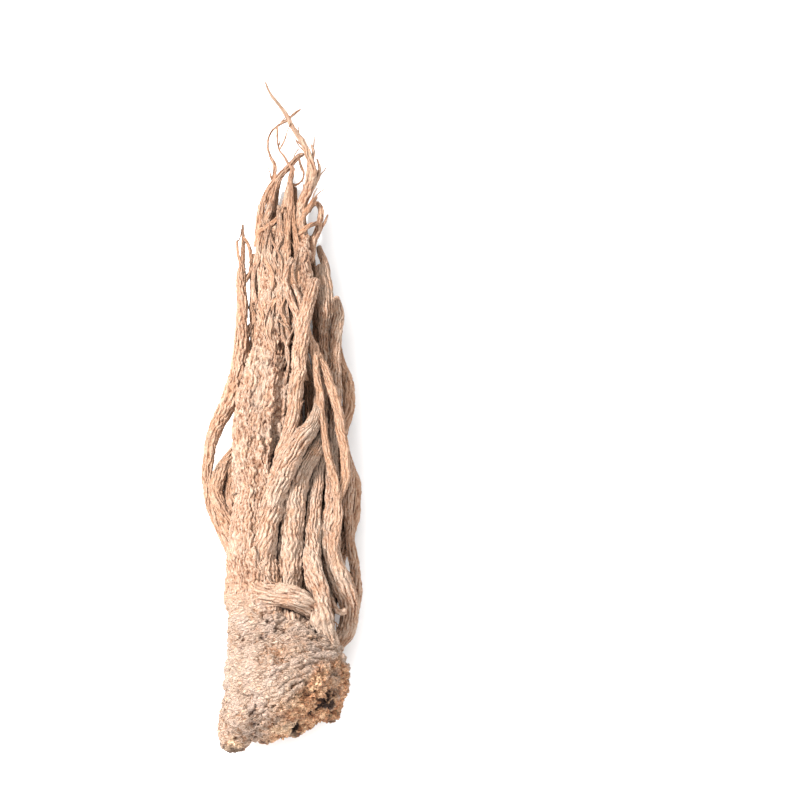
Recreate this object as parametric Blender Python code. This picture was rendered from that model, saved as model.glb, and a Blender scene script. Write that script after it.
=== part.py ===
"""A whole dried dong quai root, lying on the surface as it dries and is sold.

The root grew as one piece, so it is one solid: a stout ringed head (the crown), a trunk, and some
sixty side roots that run from the head to thin, tangled tails. It lies along Y, with the head towards
-Y and the tails towards +Y. Z is up, and the root rests on z = 0 with the origin under its middle.

Lengths in the tables are millimetres.
"""

import math
import random

import bmesh
import bpy
from mathutils import Matrix, Vector, noise

MM = 0.001

# Driving dimensions
HEAD_WIDTH = 42.0
HEAD_HEIGHT = 37.4
HEAD_RIM_Y = -107.5
CROWN_SLANT = 0.27
CROWN_DOME = 0.009
REST_CUT = 0.6
TRIANGLES = 11600

# Relief of the head: folds that ring it, a crest at each section and a valley between, and lumps
HEAD_SIDES = 32
FOLD_DEPTH = 0.9
FOLD_BREAK = 9.0
LUMP_SIZE = 8.0
LUMP_DEPTH = 2.2

# Relief of the side roots: ridges along them, as a share of the radius, which counts up to a limit
RIDGE_WIDTH = 2.8
RIDGE_LENGTH = 14.0
RIDGE_SHARE = 0.5
RIDGE_LIMIT = 4.0

# How coarsely the side roots are faceted
STEP_PER_RADIUS = 2.6
SHORTEST_STEP = 4.6
LONGEST_STEP = 9.0
# A root wider than each of these radii has two more sides than the four of the finest
BEVEL_STEPS = (1.25, 2.4, 3.6, 5.0, 6.5)

# The head's cross-sections, from the crown's rim to the neck: distance from the rim, then the centre's
# x, the half width and the half height, as shares of half the head's width and height, the share of the
# crown's slant that the section still has, and how far its middle has sunk.
HEAD_SECTIONS = [
    (-3.6, 0.06, 0.84, 0.84, 1.0, 0.0),
    (-1.6, 0.06, 0.935, 0.93, 1.0, 0.0),
    (1.0, 0.055, 0.975, 0.98, 1.0, 0.0),
    (5.5, 0.045, 0.955, 1.00, 0.95, 0.0),
    (11.0, 0.035, 0.925, 0.985, 0.75, 0.0),
    (16.5, 0.02, 0.87, 0.92, 0.5, 0.6),
    (21.5, 0.01, 0.82, 0.80, 0.25, 1.8),
    (26.5, -0.01, 0.79, 0.64, 0.1, 3.0),
    (32.0, -0.05, 0.73, 0.53, 0.0, 3.8),
    (37.5, -0.12, 0.635, 0.44, 0.0, 4.2),
    (42.5, -0.19, 0.465, 0.32, 0.0, 4.6),
    (46.0, -0.24, 0.24, 0.18, 0.0, 4.8),
]
# The crown's end has rings where leaf stalks stood: each ring's share of the rim, and how far it stands out.
CROWN_RINGS = [
    (0.85, -0.5), (0.74, -2.1), (0.62, -0.9), (0.49, -2.4), (0.36, -1.3), (0.22, -2.9), (0.1, -2.2),
]
CROWN_LUMP = 2.6

# Every route runs from the base to the tip: x across, y towards the tails, z up, and the root's radius.
TRUNK = {
    "trunk": [
        (-4.5, -92, 17.5, 13.2), (-5.9, -80, 17.6, 11.5), (-7.3, -68, 18.5, 10.1),
        (-9.3, -56, 19.3, 8.7), (-9.2, -45, 19.5, 7.7), (-7.7, -35, 19.3, 7.2),
        (-8.2, -21, 19, 6.1), (-8, -11, 18.5, 5.6), (-5, 0, 18, 5.8), (-3.7, 11, 17.5, 6.1),
        (-2.7, 22, 17, 5.8), (-2.7, 33, 16, 5.6), (-2.7, 44, 14.5, 5.3), (-3, 55, 12.5, 4.0),
        (-2.7, 64, 11, 2.2),
    ],
    "trunk_rough": [
        (-3.4, -19, 16.5, 2.4), (-1.4, -8, 18.2, 3.2), (-0.3, 3, 18.8, 3.2), (0.7, 14, 18.8, 3),
        (1.3, 25, 18.5, 3), (1, 35, 17.5, 2.8), (0.3, 46, 15.8, 2.4), (-0.2, 56, 14, 1.8),
    ],
    "trunk_left": [
        (-12.3, -34, 19.5, 4), (-12.3, -18, 20, 4), (-12, -8, 20, 4), (-10.7, 1, 20, 3.6),
        (-8.7, 10, 20, 3), (-7.3, 17, 20, 2.4), (-6.3, 23, 19, 1.6),
    ],
    "trunk_right": [
        (0, -24, 18, 2.6), (2, -7, 18, 2.5), (3.3, 4, 18, 2.4), (4.7, 14.5, 18, 2.5),
        (5.3, 23.5, 18, 2.7), (6, 31, 17.5, 2.9), (6.7, 37.5, 17, 3.1), (6.7, 43.5, 16.5, 3.1),
        (6.5, 49, 15.5, 2.9), (6.7, 55, 14, 2.3), (7.2, 60, 12.5, 1.4),
    ],
}
CROWN_LOBES = {
    "left_foot": [
        (-8, -92, 17, 7), (-12.3, -104, 15.5, 7), (-14.8, -111.5, 14.5, 6.4),
        (-16, -116.2, 14, 4.9), (-16.6, -119.2, 14, 2.2),
    ],
    "neck_bulge": [
        (-9.5, -54, 17, 3.4), (-12.5, -61, 16, 4.9), (-13.7, -68, 15.5, 5.3), (-10.5, -76, 16, 5),
    ],
    "stem_scar": [
        (3, -104, 15, 4.6), (3.3, -110, 15, 4.2), (3.5, -112.9, 15, 3.2), (3.6, -114.6, 15, 1.3),
    ],
    "bud_scar": [
        (12, -98, 25, 5), (13.8, -104.5, 25.6, 4.3), (14.6, -107.4, 25.8, 3),
        (14.9, -108.8, 25.9, 1.3),
    ],
    "low_scar": [
        (-5, -102, 9, 5), (-6, -109.5, 8.4, 4.4), (-6.5, -113, 8.1, 3.2), (-6.7, -114.9, 8, 1.3),
    ],
    "right_scar": [
        (13, -98, 11, 5), (14.4, -105, 10.6, 4.2), (15.2, -107.6, 10.4, 2.8),
        (15.6, -108.8, 10.3, 1.1),
    ],
}
SIDE_ROOTS = {
    "broad_front": [
        (-6, -82, 23, 3.6), (-7.5, -70, 23.5, 4.2), (-6.7, -58, 24.3, 4.4), (-4.7, -46.5, 25, 4),
        (-2.7, -38, 25.5, 3.6), (-0.3, -30, 25.5, 3.5), (3, -22.6, 25.5, 3.4), (6.7, -16.9, 25, 3),
        (9.7, -12.5, 23.5, 2.5), (11.7, -6.5, 21.5, 1.9), (11.7, -0.5, 20, 1.3),
    ],
    "broad_middle": [
        (2.5, -92, 22, 4), (1.8, -80, 22.5, 4.2), (1.3, -69, 21, 4.3), (2, -57.5, 21, 4.4),
        (2.3, -47, 21.5, 4.3), (3, -39, 21.5, 4.1), (4.7, -32.5, 21, 3.5), (7, -26.9, 20.5, 2.9),
        (9.7, -21.8, 20.5, 2.4), (12, -17.5, 20.5, 2), (13.3, -13, 20.5, 1.6),
        (13.7, -7.5, 20, 1.2),
    ],
    "cross_band": [
        (-10.5, -57, 19.5, 2.6), (-10.3, -62.5, 22.5, 3.0), (-8.6, -67.4, 24.8, 3.4),
        (-5, -70.2, 26.4, 3.8), (0, -71.2, 26.9, 3.9), (5, -72.2, 26.7, 3.9), (9, -73.8, 24.6, 3.5),
        (12.3, -77, 20.6, 3.2),
    ],
    "front_right": [
        (16, -97, 15, 4), (15.3, -88.5, 20, 3.6), (13, -80, 24, 3.6), (12, -71, 25, 3.3),
        (10.3, -62, 23.5, 3.1), (9.4, -52, 20.2, 2.9), (9.7, -44.8, 20, 2.6),
        (10.3, -37.5, 19.5, 2.2), (11.3, -30, 18.5, 1.8), (12.3, -22.6, 17.5, 1.5),
        (13, -16, 17, 1.1),
    ],
    "front_right_twin": [
        (6.5, -52, 17, 2), (7.7, -38.5, 17.5, 1.5), (8.7, -32, 18, 1.4), (10.3, -26, 18, 1.2),
        (12, -20, 18, 0.9),
    ],
    "right_shoulder": [
        (12, -86, 13, 3.6), (16.6, -83, 12.6, 2.6), (19.9, -79, 12.6, 2.8), (21.3, -71, 14, 3.1),
        (19.4, -65, 16.5, 3.4), (16.7, -58.3, 18, 3.3), (15, -51.3, 18, 2.9),
        (15.3, -42.4, 18, 2.8), (16.3, -35.3, 18, 2.6), (16.3, -28, 17.5, 2.1),
        (15.3, -21.4, 17, 1.6), (14.7, -15, 16.5, 1.1),
    ],
    "right_outer": [
        (12.5, -87, 8.5, 3.2), (17.3, -81.5, 9, 2.2), (22, -73, 9.5, 2.0), (23.7, -63, 10.5, 1.7),
        (23, -54, 11.5, 1.7), (21.7, -47, 11.5, 1.5), (21.2, -40, 11.5, 1.5), (21.4, -33, 12, 1.6),
        (21.8, -26, 12, 1.5), (21.2, -19.6, 12, 1.3), (19.8, -13, 12, 1.0),
    ],
    "right_bulge": [
        (17, -56, 7.5, 2.4), (19.4, -49, 8, 2.2), (22.2, -41, 8, 2.1), (23.2, -33, 8, 2.1),
        (22.9, -26, 8, 2), (21.4, -20, 8.5, 1.9), (19.8, -14.5, 9, 1.6), (18.4, -8, 9.5, 1.2),
    ],
    "upper_bulge": [
        (17.4, -20, 8.5, 1.7), (18.8, -13, 9, 1.7), (20.6, -5.4, 9, 1.8), (21.6, 0.7, 9, 2),
        (21.4, 6.4, 9, 2.1), (20.2, 10.6, 9, 2), (18.8, 15, 9.5, 1.8), (17.8, 20.5, 10, 1.4),
        (17, 27, 10, 1.0),
    ],
    "thin_cross": [
        (18.1, -37, 20, 1.4), (16.7, -29.1, 22.3, 1.3), (15.3, -22.9, 22.8, 1.2),
        (14, -15.8, 22.8, 1.2), (12.8, -8.6, 22.6, 1.2), (12.3, -1.2, 22.2, 1.2),
        (11.3, 6.1, 22, 1.2), (11, 12, 21.5, 1.2), (9.7, 18, 20.5, 1.3),
    ],
    "long_right": [
        (17.7, -37.5, 19.5, 1.4), (19.1, -33, 19.7, 1.5), (20.5, -29, 19.5, 1.6),
        (20.8, -24, 19.5, 1.6), (20.1, -18, 19.5, 1.6), (19.1, -11.2, 20, 1.6),
        (18.2, -4.6, 20.2, 1.5), (16.3, 2.2, 20.4, 1.5), (14.3, 8.3, 20.5, 1.4),
        (12, 13, 20.5, 1.4), (9.5, 18.5, 21, 1.4), (7.5, 24, 22, 1.3),
    ],
    "right_join": [
        (16.5, -81, 10.5, 2.4), (20.8, -76.5, 11.3, 2.0), (22.4, -70.5, 12.6, 1.9),
        (21.9, -65.5, 14.6, 1.8), (20, -61.8, 17.2, 1.7), (17.8, -58.8, 19.8, 1.6),
        (16.7, -54, 20.6, 1.6), (17.3, -48.5, 20.5, 1.5), (18.1, -41.5, 20.5, 1.5),
        (17.7, -35, 20.7, 1.5),
    ],
    "forked": [
        (-1.5, -28, 22.5, 2.4), (0.7, -19.8, 24, 2.3), (2.7, -13.6, 24.5, 2.2),
        (4, -6.1, 24.5, 2.2), (5, 2.7, 24.5, 2.3), (5.7, 9.5, 24.5, 2.3), (6.3, 16.2, 24.5, 2.3),
        (7.2, 22.5, 24.5, 2.2), (8.3, 28.2, 24.5, 2.2), (10, 33.7, 24, 2), (11.3, 39.8, 23.5, 1.7),
    ],
    "fork_left": [
        (6.6, 20, 24, 1.5), (5, 27.2, 23.5, 1.3), (3.3, 31.8, 23, 1.2), (1.7, 36.2, 22.4, 1.2),
        (1.3, 39.8, 21.8, 1.1), (2, 44.5, 21, 1.1), (3.5, 48.5, 20, 0.9),
    ],
    "fork_twig": [(7.4, 25, 24, 1.0), (5.8, 32.5, 22.5, 0.9), (3.6, 38.5, 21.3, 0.7)],
    "right_upper": [
        (13, -78, 13, 2.6), (16.5, -62, 13.5, 2.2), (16.5, -46, 14, 1.8), (17, -33, 14, 1.6),
        (16.7, -23, 14, 1.5), (16.3, -15, 14, 1.6), (17, -8, 14, 1.7), (17.5, -1.5, 14, 1.7),
        (17.7, 5.2, 14, 1.8), (17.6, 12.3, 14, 1.8), (17.8, 19.4, 14, 1.8), (18.4, 25.8, 14, 1.7),
        (18.6, 31.5, 13.5, 1.5), (17.9, 37.5, 12.5, 1.0),
    ],
    "right_low": [
        (12, -76, 9, 3), (17.4, -55, 7, 2.4), (18.1, -38, 6.5, 2.2), (17.7, -20, 7, 2),
        (17, -5, 8.5, 1.9), (16.3, 10, 9.5, 1.8), (16.2, 22, 10, 1.7), (16, 31.5, 10, 1.6),
        (15.5, 38.8, 10, 1.5), (15, 44.2, 9.5, 1.4), (14.4, 49.5, 9, 1.3), (13.4, 53.8, 8.5, 1.1),
        (12.2, 57.8, 8, 0.8),
    ],
    "left_loop": [
        (-11, -61, 17, 3), (-15.2, -54.5, 15.8, 2.2), (-18.4, -48, 14, 1.8),
        (-21.3, -42, 12.8, 1.6), (-23.5, -35.5, 12, 1.5), (-24.7, -28.5, 12, 1.6),
        (-24.8, -21.5, 12, 1.8), (-23.9, -15, 12.3, 2), (-22, -9, 12.7, 2.3),
        (-19.6, -3.7, 13, 2.7), (-17.3, 1.5, 13, 2.9), (-15.8, 7, 13, 2.8), (-14.7, 13, 13, 2.5),
        (-14, 20, 13, 2.2), (-13.7, 27, 12.5, 2), (-13.4, 34, 12, 1.8), (-13.6, 41.5, 11.5, 1.7),
        (-13.8, 46.7, 11, 1.6), (-13.7, 50, 10.5, 0.95), (-13.3, 55.6, 10, 0.8),
        (-13.3, 60.7, 9.5, 0.6), (-13.3, 65.5, 9, 0.35),
    ],
    "loop_twig": [
        (-13, 60.3, 9.6, 0.6), (-11.3, 57, 10, 0.6), (-10.4, 52, 10, 0.65),
        (-10.7, 47.5, 10.5, 0.7), (-12.6, 43.5, 11.2, 0.8),
    ],
    "loop_spur": [(-13.7, 49.5, 10.5, 0.8), (-14.8, 54.5, 10.2, 0.5), (-15.2, 59.3, 10, 0.35)],
    "left_rough": [
        (-12, -57, 16, 3.2), (-15.3, -48.5, 14.6, 2.8), (-18, -42, 13.2, 2.5),
        (-20.5, -37, 12.4, 2.3), (-21.7, -31.5, 12, 2.3), (-21.1, -26.3, 12, 2.2),
        (-19.3, -21.6, 12, 2), (-16.9, -17, 11.8, 1.7), (-14.7, -12, 11.5, 1.1),
    ],
    "left_fill": [
        (-10, -58, 14, 4), (-14.2, -46, 12, 3.3), (-16.2, -38, 11, 3), (-16.6, -31, 10.8, 2.9),
        (-15.6, -23, 11, 2.5), (-13.5, -14, 11.5, 1.6),
    ],
    "left_slip": [
        (-12, -8, 14, 1.7), (-11.2, 4, 14.5, 1.4), (-9.8, 11.5, 14.5, 1.2), (-8.6, 17.5, 14.5, 1),
        (-8.2, 24, 14.5, 1), (-9, 29.5, 14, 0.8), (-10.3, 34, 13.5, 0.5),
    ],
    "left_slip_twin": [
        (-11, 2, 12.6, 1.4), (-10.4, 11, 13, 1.2), (-11.3, 17.5, 12.6, 1), (-11.8, 23, 12.2, 0.9),
        (-10.9, 28.5, 11.7, 0.5),
    ],
    "right_shaded": [
        (10, -22, 12, 2.8), (12.4, -8, 12.4, 2.6), (13.6, 6, 12.4, 2.5), (14.2, 18, 12, 2.3),
        (14.3, 30, 11.4, 2), (13.6, 41, 10.8, 1.6), (12.2, 50, 10.2, 1.1),
    ],
    "left_shaded": [
        (-8, 6, 12, 2.2), (-9, 18, 11, 1.7), (-9.5, 30, 10.5, 1.4), (-9.9, 41, 10, 1.2),
        (-9.9, 48, 9.8, 1), (-9.6, 54.5, 9.3, 0.7),
    ],
}
TAILS = {
    "left_arch": [
        (-6.2, 45, 14, 1.7), (-7.6, 58.9, 12.5, 1.4), (-7.3, 66.3, 11.5, 1.3),
        (-6, 73.2, 10.5, 1.2), (-4, 78.5, 9.5, 1.1), (-1.7, 82.2, 9, 1.05), (1, 85.2, 8.5, 1),
        (3.3, 87.8, 8.3, 0.85), (5.3, 90.4, 8, 0.8), (7.4, 91.2, 8.2, 0.6),
    ],
    "left_arch_twin": [
        (-4.2, 50, 14, 1.7), (-5.3, 62.5, 12, 1.3), (-4.7, 69, 11, 1.2), (-3.3, 74.8, 10.2, 1.1),
        (-1.7, 79.3, 9.6, 0.9), (0, 82.4, 9.2, 0.7), (1.6, 84.6, 9, 0.4),
    ],
    "ringlet": [
        (-4, 69, 10, 1.2), (-3.3, 78.4, 9, 0.95), (-2.7, 82.9, 8.5, 0.8), (-2.7, 87.4, 8, 0.65),
        (-4, 90.3, 8, 0.5), (-4.8, 93.5, 8, 0.42), (-4.6, 96.6, 8, 0.4), (-3.6, 99.7, 8, 0.42),
        (-1.5, 101.8, 8.2, 0.45), (1, 103.3, 8.4, 0.45), (3, 104.9, 8.6, 0.42),
        (4.8, 106.5, 8.6, 0.4), (6.4, 107.6, 8.6, 0.34),
    ],
    "middle_tail": [
        (-1, 46, 15, 1.9), (-0.3, 58.9, 12.7, 1.5), (0, 65.7, 11.4, 1.35), (1, 72.2, 10.4, 1.2),
        (2.3, 77, 9.8, 1.1), (3, 81.2, 9.5, 1), (3.7, 84.7, 9.5, 0.85), (3.3, 86.4, 9.8, 0.65),
    ],
    "longest_tail": [
        (6.8, 46, 12.5, 2), (6.3, 58.8, 13, 1.7), (6, 65.4, 12.5, 1.55), (7, 71.3, 12, 1.5),
        (8.7, 75.6, 11.5, 1.4), (10, 79.7, 11, 1.3), (10.6, 83.4, 10.5, 1.2), (10, 86.7, 10, 1.2),
        (9, 89.7, 9.5, 1.15), (8, 92.6, 9.5, 1.1), (6.5, 95.8, 9, 1), (4.7, 98.9, 8.5, 0.9),
        (3.1, 102, 8.5, 0.85), (1.6, 105.2, 8.5, 0.8), (-0.2, 108.2, 8, 0.7), (-2.1, 111, 8, 0.6),
        (-3.6, 113.6, 7.5, 0.5), (-4.8, 116, 7.5, 0.42), (-5.7, 118.6, 7, 0.33),
    ],
    "longest_twin": [
        (4.6, 54, 13.6, 1.6), (5, 67.8, 11.5, 1.2), (6.3, 72.5, 10.5, 1.1), (8, 77.6, 10, 1),
        (9, 81.9, 9.5, 0.95), (9.3, 86.6, 9, 0.9), (8.9, 91, 8.6, 0.8), (7.8, 94.4, 8.5, 0.6),
        (6, 97.5, 8.5, 0.4),
    ],
    "right_arc": [
        (9.2, 76, 11, 0.9), (11.3, 80, 10, 0.7), (12.3, 83.5, 9, 0.6), (12.4, 86.5, 8.5, 0.45),
        (11.7, 89.3, 8.5, 0.3),
    ],
    "right_nib": [
        (9.2, 85.5, 9.8, 0.8), (10.4, 89.3, 9, 0.6), (10.6, 92, 8.6, 0.5), (9.9, 94.6, 8.5, 0.3),
    ],
    "hook": [
        (8.8, 50, 12.5, 1.6), (10.3, 57.7, 11.5, 1.3), (11.7, 61.8, 10.5, 1.1),
        (12.7, 66.3, 10, 1), (12.8, 69.9, 9.7, 0.95), (11.6, 72.2, 9.7, 0.85),
        (10, 71.6, 9.7, 0.7), (8.9, 69, 9.9, 0.5),
    ],
    "hook_twig": [
        (11.3, 60, 10.4, 0.9), (13, 63.5, 9.6, 0.6), (14.3, 65.6, 9.2, 0.45), (15.3, 68.6, 9, 0.3),
    ],
    "cross_tail": [
        (-8.6, 56, 11.5, 0.9), (-7.7, 60.4, 13.2, 0.9), (-5.3, 61.9, 14, 0.9), (-3, 63.7, 14, 0.9),
        (-0.7, 66.4, 13.3, 0.85), (0.8, 70.5, 12, 0.6),
    ],
    "cross_tail_right": [
        (5.2, 58.5, 14.5, 0.9), (8, 61.3, 14.4, 0.8), (10.2, 63.2, 13, 0.7),
        (12.2, 64.2, 11.2, 0.55),
    ],
    "right_spur": [
        (5.6, 64, 13.2, 1.1), (8.7, 69, 13, 0.9), (10.5, 72, 12.6, 0.7), (11.8, 73.8, 12.2, 0.4),
    ],
    "thread_loop": [
        (3.1, 78.8, 9.4, 0.5), (5.6, 80.3, 8.6, 0.36), (6.9, 82.4, 8.3, 0.34),
        (6.9, 85.3, 8.3, 0.34), (6, 87.6, 8.3, 0.34), (5.6, 90.3, 8.1, 0.4),
    ],
    "thread_high": [
        (3.2, 85.4, 9.2, 0.5), (1.7, 88, 8.6, 0.4), (0.6, 90.3, 8.3, 0.36), (-0.8, 92.4, 8, 0.34),
        (-1.5, 95, 8, 0.34), (-1.6, 98, 8, 0.34), (-1.5, 101.4, 8.1, 0.38),
    ],
    "thread_twig": [(-1, 93, 8, 0.36), (0.5, 95.6, 8, 0.33), (1.5, 98.4, 8, 0.3)],
}

# The roots under and behind, which fill the bundle down to the surface.
# The bundle's outline as y, left edge, right edge.
OUTLINE = [
    (-80, -15, 16), (-62, -15, 17), (-45, -17, 18.5), (-30, -18, 19), (-12, -15, 18), (5, -12.5, 17.5),
    (25, -11, 15.5), (45, -9.5, 12.5), (60, -8.5, 11), (75, -6.5, 9.5), (88, -2.5, 9), (100, -1, 6.5),
]
UNDER_ROOTS = 9
UNDER_BASE_Y = -96.0
UNDER_TIP_NEAR = 44.0
UNDER_TIP_FAR = 84.0
UNDER_BASE_RADIUS = 4.6
UNDER_TIP_RADIUS = 0.7
UNDER_POINTS = 14
UNDER_SWAY = 1.3
INNER_LIFT = 8.0
# Fine roots that run over the trunk's upper half.
FINE_ROOTS = 15
FINE_BASE_Y = 27.0
FINE_TIP_Y = 75.0
FINE_RADIUS = 1.15
FINE_SPREAD = 9.0
# Height of the trunk's back at y, which the fine roots follow
BACK = [(15, 23.2), (33, 21.8), (44, 20.2), (55, 17.6), (64, 14.8), (75, 12.0), (95, 8.5)]
SEED = 17
# From the tables' zero to the middle of the finished root's box, seen from above
MIDDLE = (0.88 * MM, 0.67 * MM, 0.0)


def mixed(a, b, share):
    return a + (b - a) * share


def at(table, y):
    """The values that a table, whose first column is y, gives at y."""
    for (y0, *values0), (y1, *values1) in zip(table, table[1:]):
        if y <= y1:
            share = max(0.0, (y - y0) / (y1 - y0))
            return [mixed(a, b, share) for a, b in zip(values0, values1)]
    return table[-1][1:]


def under_roots(draw):
    """Routes of the roots that the bundle lies on, side by side, in two layers."""
    routes = {}
    for index in range(UNDER_ROOTS):
        across = (index + 0.5) / UNDER_ROOTS
        inner = index % 2 == 1
        phase = draw.uniform(0, math.tau)
        base_y = UNDER_BASE_Y + draw.uniform(0, 8)
        tip_y = draw.uniform(UNDER_TIP_NEAR, UNDER_TIP_FAR)
        tip_across = min(0.95, max(0.05, across + draw.uniform(-0.22, 0.22)))
        thickness = draw.uniform(0.8, 1.15)
        route = []
        for step in range(UNDER_POINTS):
            share = step / (UNDER_POINTS - 1)
            y = mixed(base_y, tip_y, share)
            left, right = at(OUTLINE, y)
            radius = thickness * mixed(UNDER_BASE_RADIUS, UNDER_TIP_RADIUS, share**0.65)
            place = mixed(across, tip_across, share)
            x = mixed(left + radius, right - radius, place)
            x += UNDER_SWAY * math.sin(phase + share * 7.0) * min(1.0, 3 * (1 - share))
            z = 0.8 * radius - 0.3 + (INNER_LIFT * (1 - 0.6 * share) if inner else 0.0) + 4.0 * share**3
            route.append((x, y, z + 5.0 * (1 - share) ** 9, radius))
        routes[f"under_{index + 1}"] = route
    return routes


def fine_roots(draw):
    """Routes of the thin roots that lie close together over the trunk's upper half."""
    routes = {}
    for index in range(FINE_ROOTS):
        across = (index + 0.5) / FINE_ROOTS * 2 - 1
        start = FINE_BASE_Y + draw.uniform(-8, 12)
        end = FINE_TIP_Y - 11 * abs(across) + draw.uniform(-8, 10)
        drift = draw.uniform(-2.2, 2.2)
        phase = draw.uniform(0, math.tau)
        route = []
        for step in range(8):
            share = step / 7
            y = mixed(start, end, share)
            x = FINE_SPREAD * across * mixed(1.0, 0.82, share) + drift * share
            x += 0.7 * math.sin(phase + 6.0 * share)
            sunk = 0.06 * x * x + 2.0 * (1 - share) ** 4
            route.append((x, y, at(BACK, y)[0] - sunk, FINE_RADIUS * mixed(1.3, 0.5, share)))
        routes[f"fine_{index + 1}"] = route
    return routes


def smooth_route(route):
    """Points along a smooth curve through the route's own points, each as x, y, z and radius."""
    made = []
    last = len(route) - 1
    for i in range(last):
        before, here, there, after = (Vector(route[max(0, min(last, j))]) for j in (i - 1, i, i + 1, i + 2))
        thickness = (here.w + there.w) / 2
        step = min(LONGEST_STEP, max(SHORTEST_STEP, STEP_PER_RADIUS * thickness))
        count = max(1, round((there - here).length / step))
        for k in range(count):
            t = k / count
            made.append(
                0.5 * (
                    2 * here
                    + (there - before) * t
                    + (2 * before - 5 * here + 4 * there - after) * t * t
                    + (3 * here - before - 3 * there + after) * t**3
                )
            )
    made.append(Vector(route[-1]))
    return made


def tube(name, points):
    """A side root: a bevelled curve through its points, closed and given its ridges."""
    curve = bpy.data.curves.new(name, "CURVE")
    curve.dimensions = "3D"
    curve.bevel_depth = MM
    widest = max(point[3] for point in points)
    curve.bevel_resolution = sum(widest > limit for limit in BEVEL_STEPS)
    curve.use_fill_caps = True
    spline = curve.splines.new("POLY")
    spline.points.add(len(points) - 1)
    for point, (x, y, z, radius) in zip(spline.points, points):
        point.co = (x * MM, y * MM, z * MM, 1.0)
        point.radius = radius
    guide = bpy.data.objects.new(name, curve)
    bpy.context.scene.collection.objects.link(guide)
    mesh = guide.to_mesh(depsgraph=bpy.context.evaluated_depsgraph_get())
    shape = bmesh.new()
    shape.from_mesh(mesh)
    bpy.data.objects.remove(guide)
    bmesh.ops.remove_doubles(shape, verts=shape.verts, dist=1e-6)
    shape.normal_update()
    for vert in shape.verts:
        x, y, z = vert.co / MM
        ridge = noise.noise(Vector((x / RIDGE_WIDTH, y / RIDGE_LENGTH, z / RIDGE_WIDTH)))
        near = min(points, key=lambda point: (point[0] - x) ** 2 + (point[1] - y) ** 2 + (point[2] - z) ** 2)
        vert.co += vert.normal * RIDGE_SHARE * ridge * min(near[3], RIDGE_LIMIT) * MM
    return solid(name, shape)


def solid(name, shape):
    """The finished shape as an object of triangles that face out."""
    bmesh.ops.triangulate(shape, faces=shape.faces)
    bmesh.ops.recalc_face_normals(shape, faces=shape.faces)
    mesh = bpy.data.meshes.new(name)
    shape.to_mesh(mesh)
    shape.free()
    made = bpy.data.objects.new(name, mesh)
    bpy.context.scene.collection.objects.link(made)
    return made


def head_point(section, crest, angle):
    """A point of the head's skin, with its folds and lumps."""
    along, centre, half_width, half_height, slant, sunk = section
    out = Vector((math.cos(angle), 0, math.sin(angle)))
    y = HEAD_RIM_Y + along
    middle = Vector((centre * HEAD_WIDTH / 2, y, HEAD_HEIGHT / 2 - REST_CUT / 2 - sunk))
    seat = middle + Vector((half_width * HEAD_WIDTH / 2 * out.x, 0, half_height * HEAD_HEIGHT / 2 * out.z))
    size = min(1.0, 1.4 * half_width)
    lump = LUMP_DEPTH * noise.noise(seat / LUMP_SIZE)
    fold = FOLD_DEPTH * crest * (0.55 + 0.9 * noise.noise(seat / FOLD_BREAK + Vector((7, 0, 0))))
    seat += (lump + fold) * size * out
    seat.y += slant * (CROWN_SLANT * seat.x + CROWN_DOME * seat.x**2)
    if along < HEAD_SECTIONS[0][0]:
        seat.y += CROWN_LUMP * noise.noise(seat / LUMP_SIZE + Vector((0, 3, 0)))
    return seat


def head():
    """The crown and the neck: one skin lofted through the head's sections and closed at both ends."""
    first = HEAD_SECTIONS[0]
    rings = []
    for share, push in reversed(CROWN_RINGS):
        rings.append((0, (first[0] + push, first[1], first[2] * share, first[3] * share, *first[4:])))
    for section, following in zip(HEAD_SECTIONS, HEAD_SECTIONS[1:]):
        rings.append((0.5, section))
        if section[0] >= 0:
            rings.append((-0.5, tuple(mixed(a, b, 0.5) for a, b in zip(section, following))))
    rings.append((0, HEAD_SECTIONS[-1]))
    shape = bmesh.new()
    loops = []
    for crest, section in rings:
        turns = (math.tau * k / HEAD_SIDES for k in range(HEAD_SIDES))
        loops.append([shape.verts.new(head_point(section, crest, turn) * MM) for turn in turns])
    for low, high in zip(loops, loops[1:]):
        for k in range(HEAD_SIDES):
            following = (k + 1) % HEAD_SIDES
            shape.faces.new((low[k], low[following], high[following], high[k]))
    shape.faces.new(reversed(loops[0]))
    shape.faces.new(loops[-1])
    return solid("head", shape)


def boolean(target, operation, others):
    """Joins others to target, or cuts them from it, and removes them."""
    bag = bpy.data.collections.new("others")
    bpy.context.scene.collection.children.link(bag)
    for other in others:
        other.users_collection[0].objects.unlink(other)
        bag.objects.link(other)
    modifier = target.modifiers.new(operation.lower(), "BOOLEAN")
    modifier.operation = operation
    modifier.operand_type = "COLLECTION"
    modifier.collection = bag
    modifier.solver = "MANIFOLD"
    mesh = bpy.data.meshes.new_from_object(target.evaluated_get(bpy.context.evaluated_depsgraph_get()))
    target.modifiers.clear()
    target.data = mesh
    for other in others:
        bpy.data.objects.remove(other)
    bpy.data.collections.remove(bag)


def thinned(target, triangles):
    """Merges the slivers that the joining left along its seams, down to a number of triangles."""
    target.data.calc_loop_triangles()
    modifier = target.modifiers.new("thin", "DECIMATE")
    modifier.ratio = triangles / len(target.data.loop_triangles)
    evaluated = target.evaluated_get(bpy.context.evaluated_depsgraph_get())
    mesh = bpy.data.meshes.new_from_object(evaluated)
    target.modifiers.clear()
    target.data = mesh


def surface_block():
    """The space under the surface that the root lies on."""
    bpy.ops.mesh.primitive_cube_add(size=1)
    block = bpy.context.object
    block.name = "surface_block"
    block.data.transform(block.matrix_world)
    for corner in block.data.vertices:
        corner.co = (corner.co.x * 0.2, corner.co.y * 0.4, (corner.co.z - 0.5) * 0.05)
    return block


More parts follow.
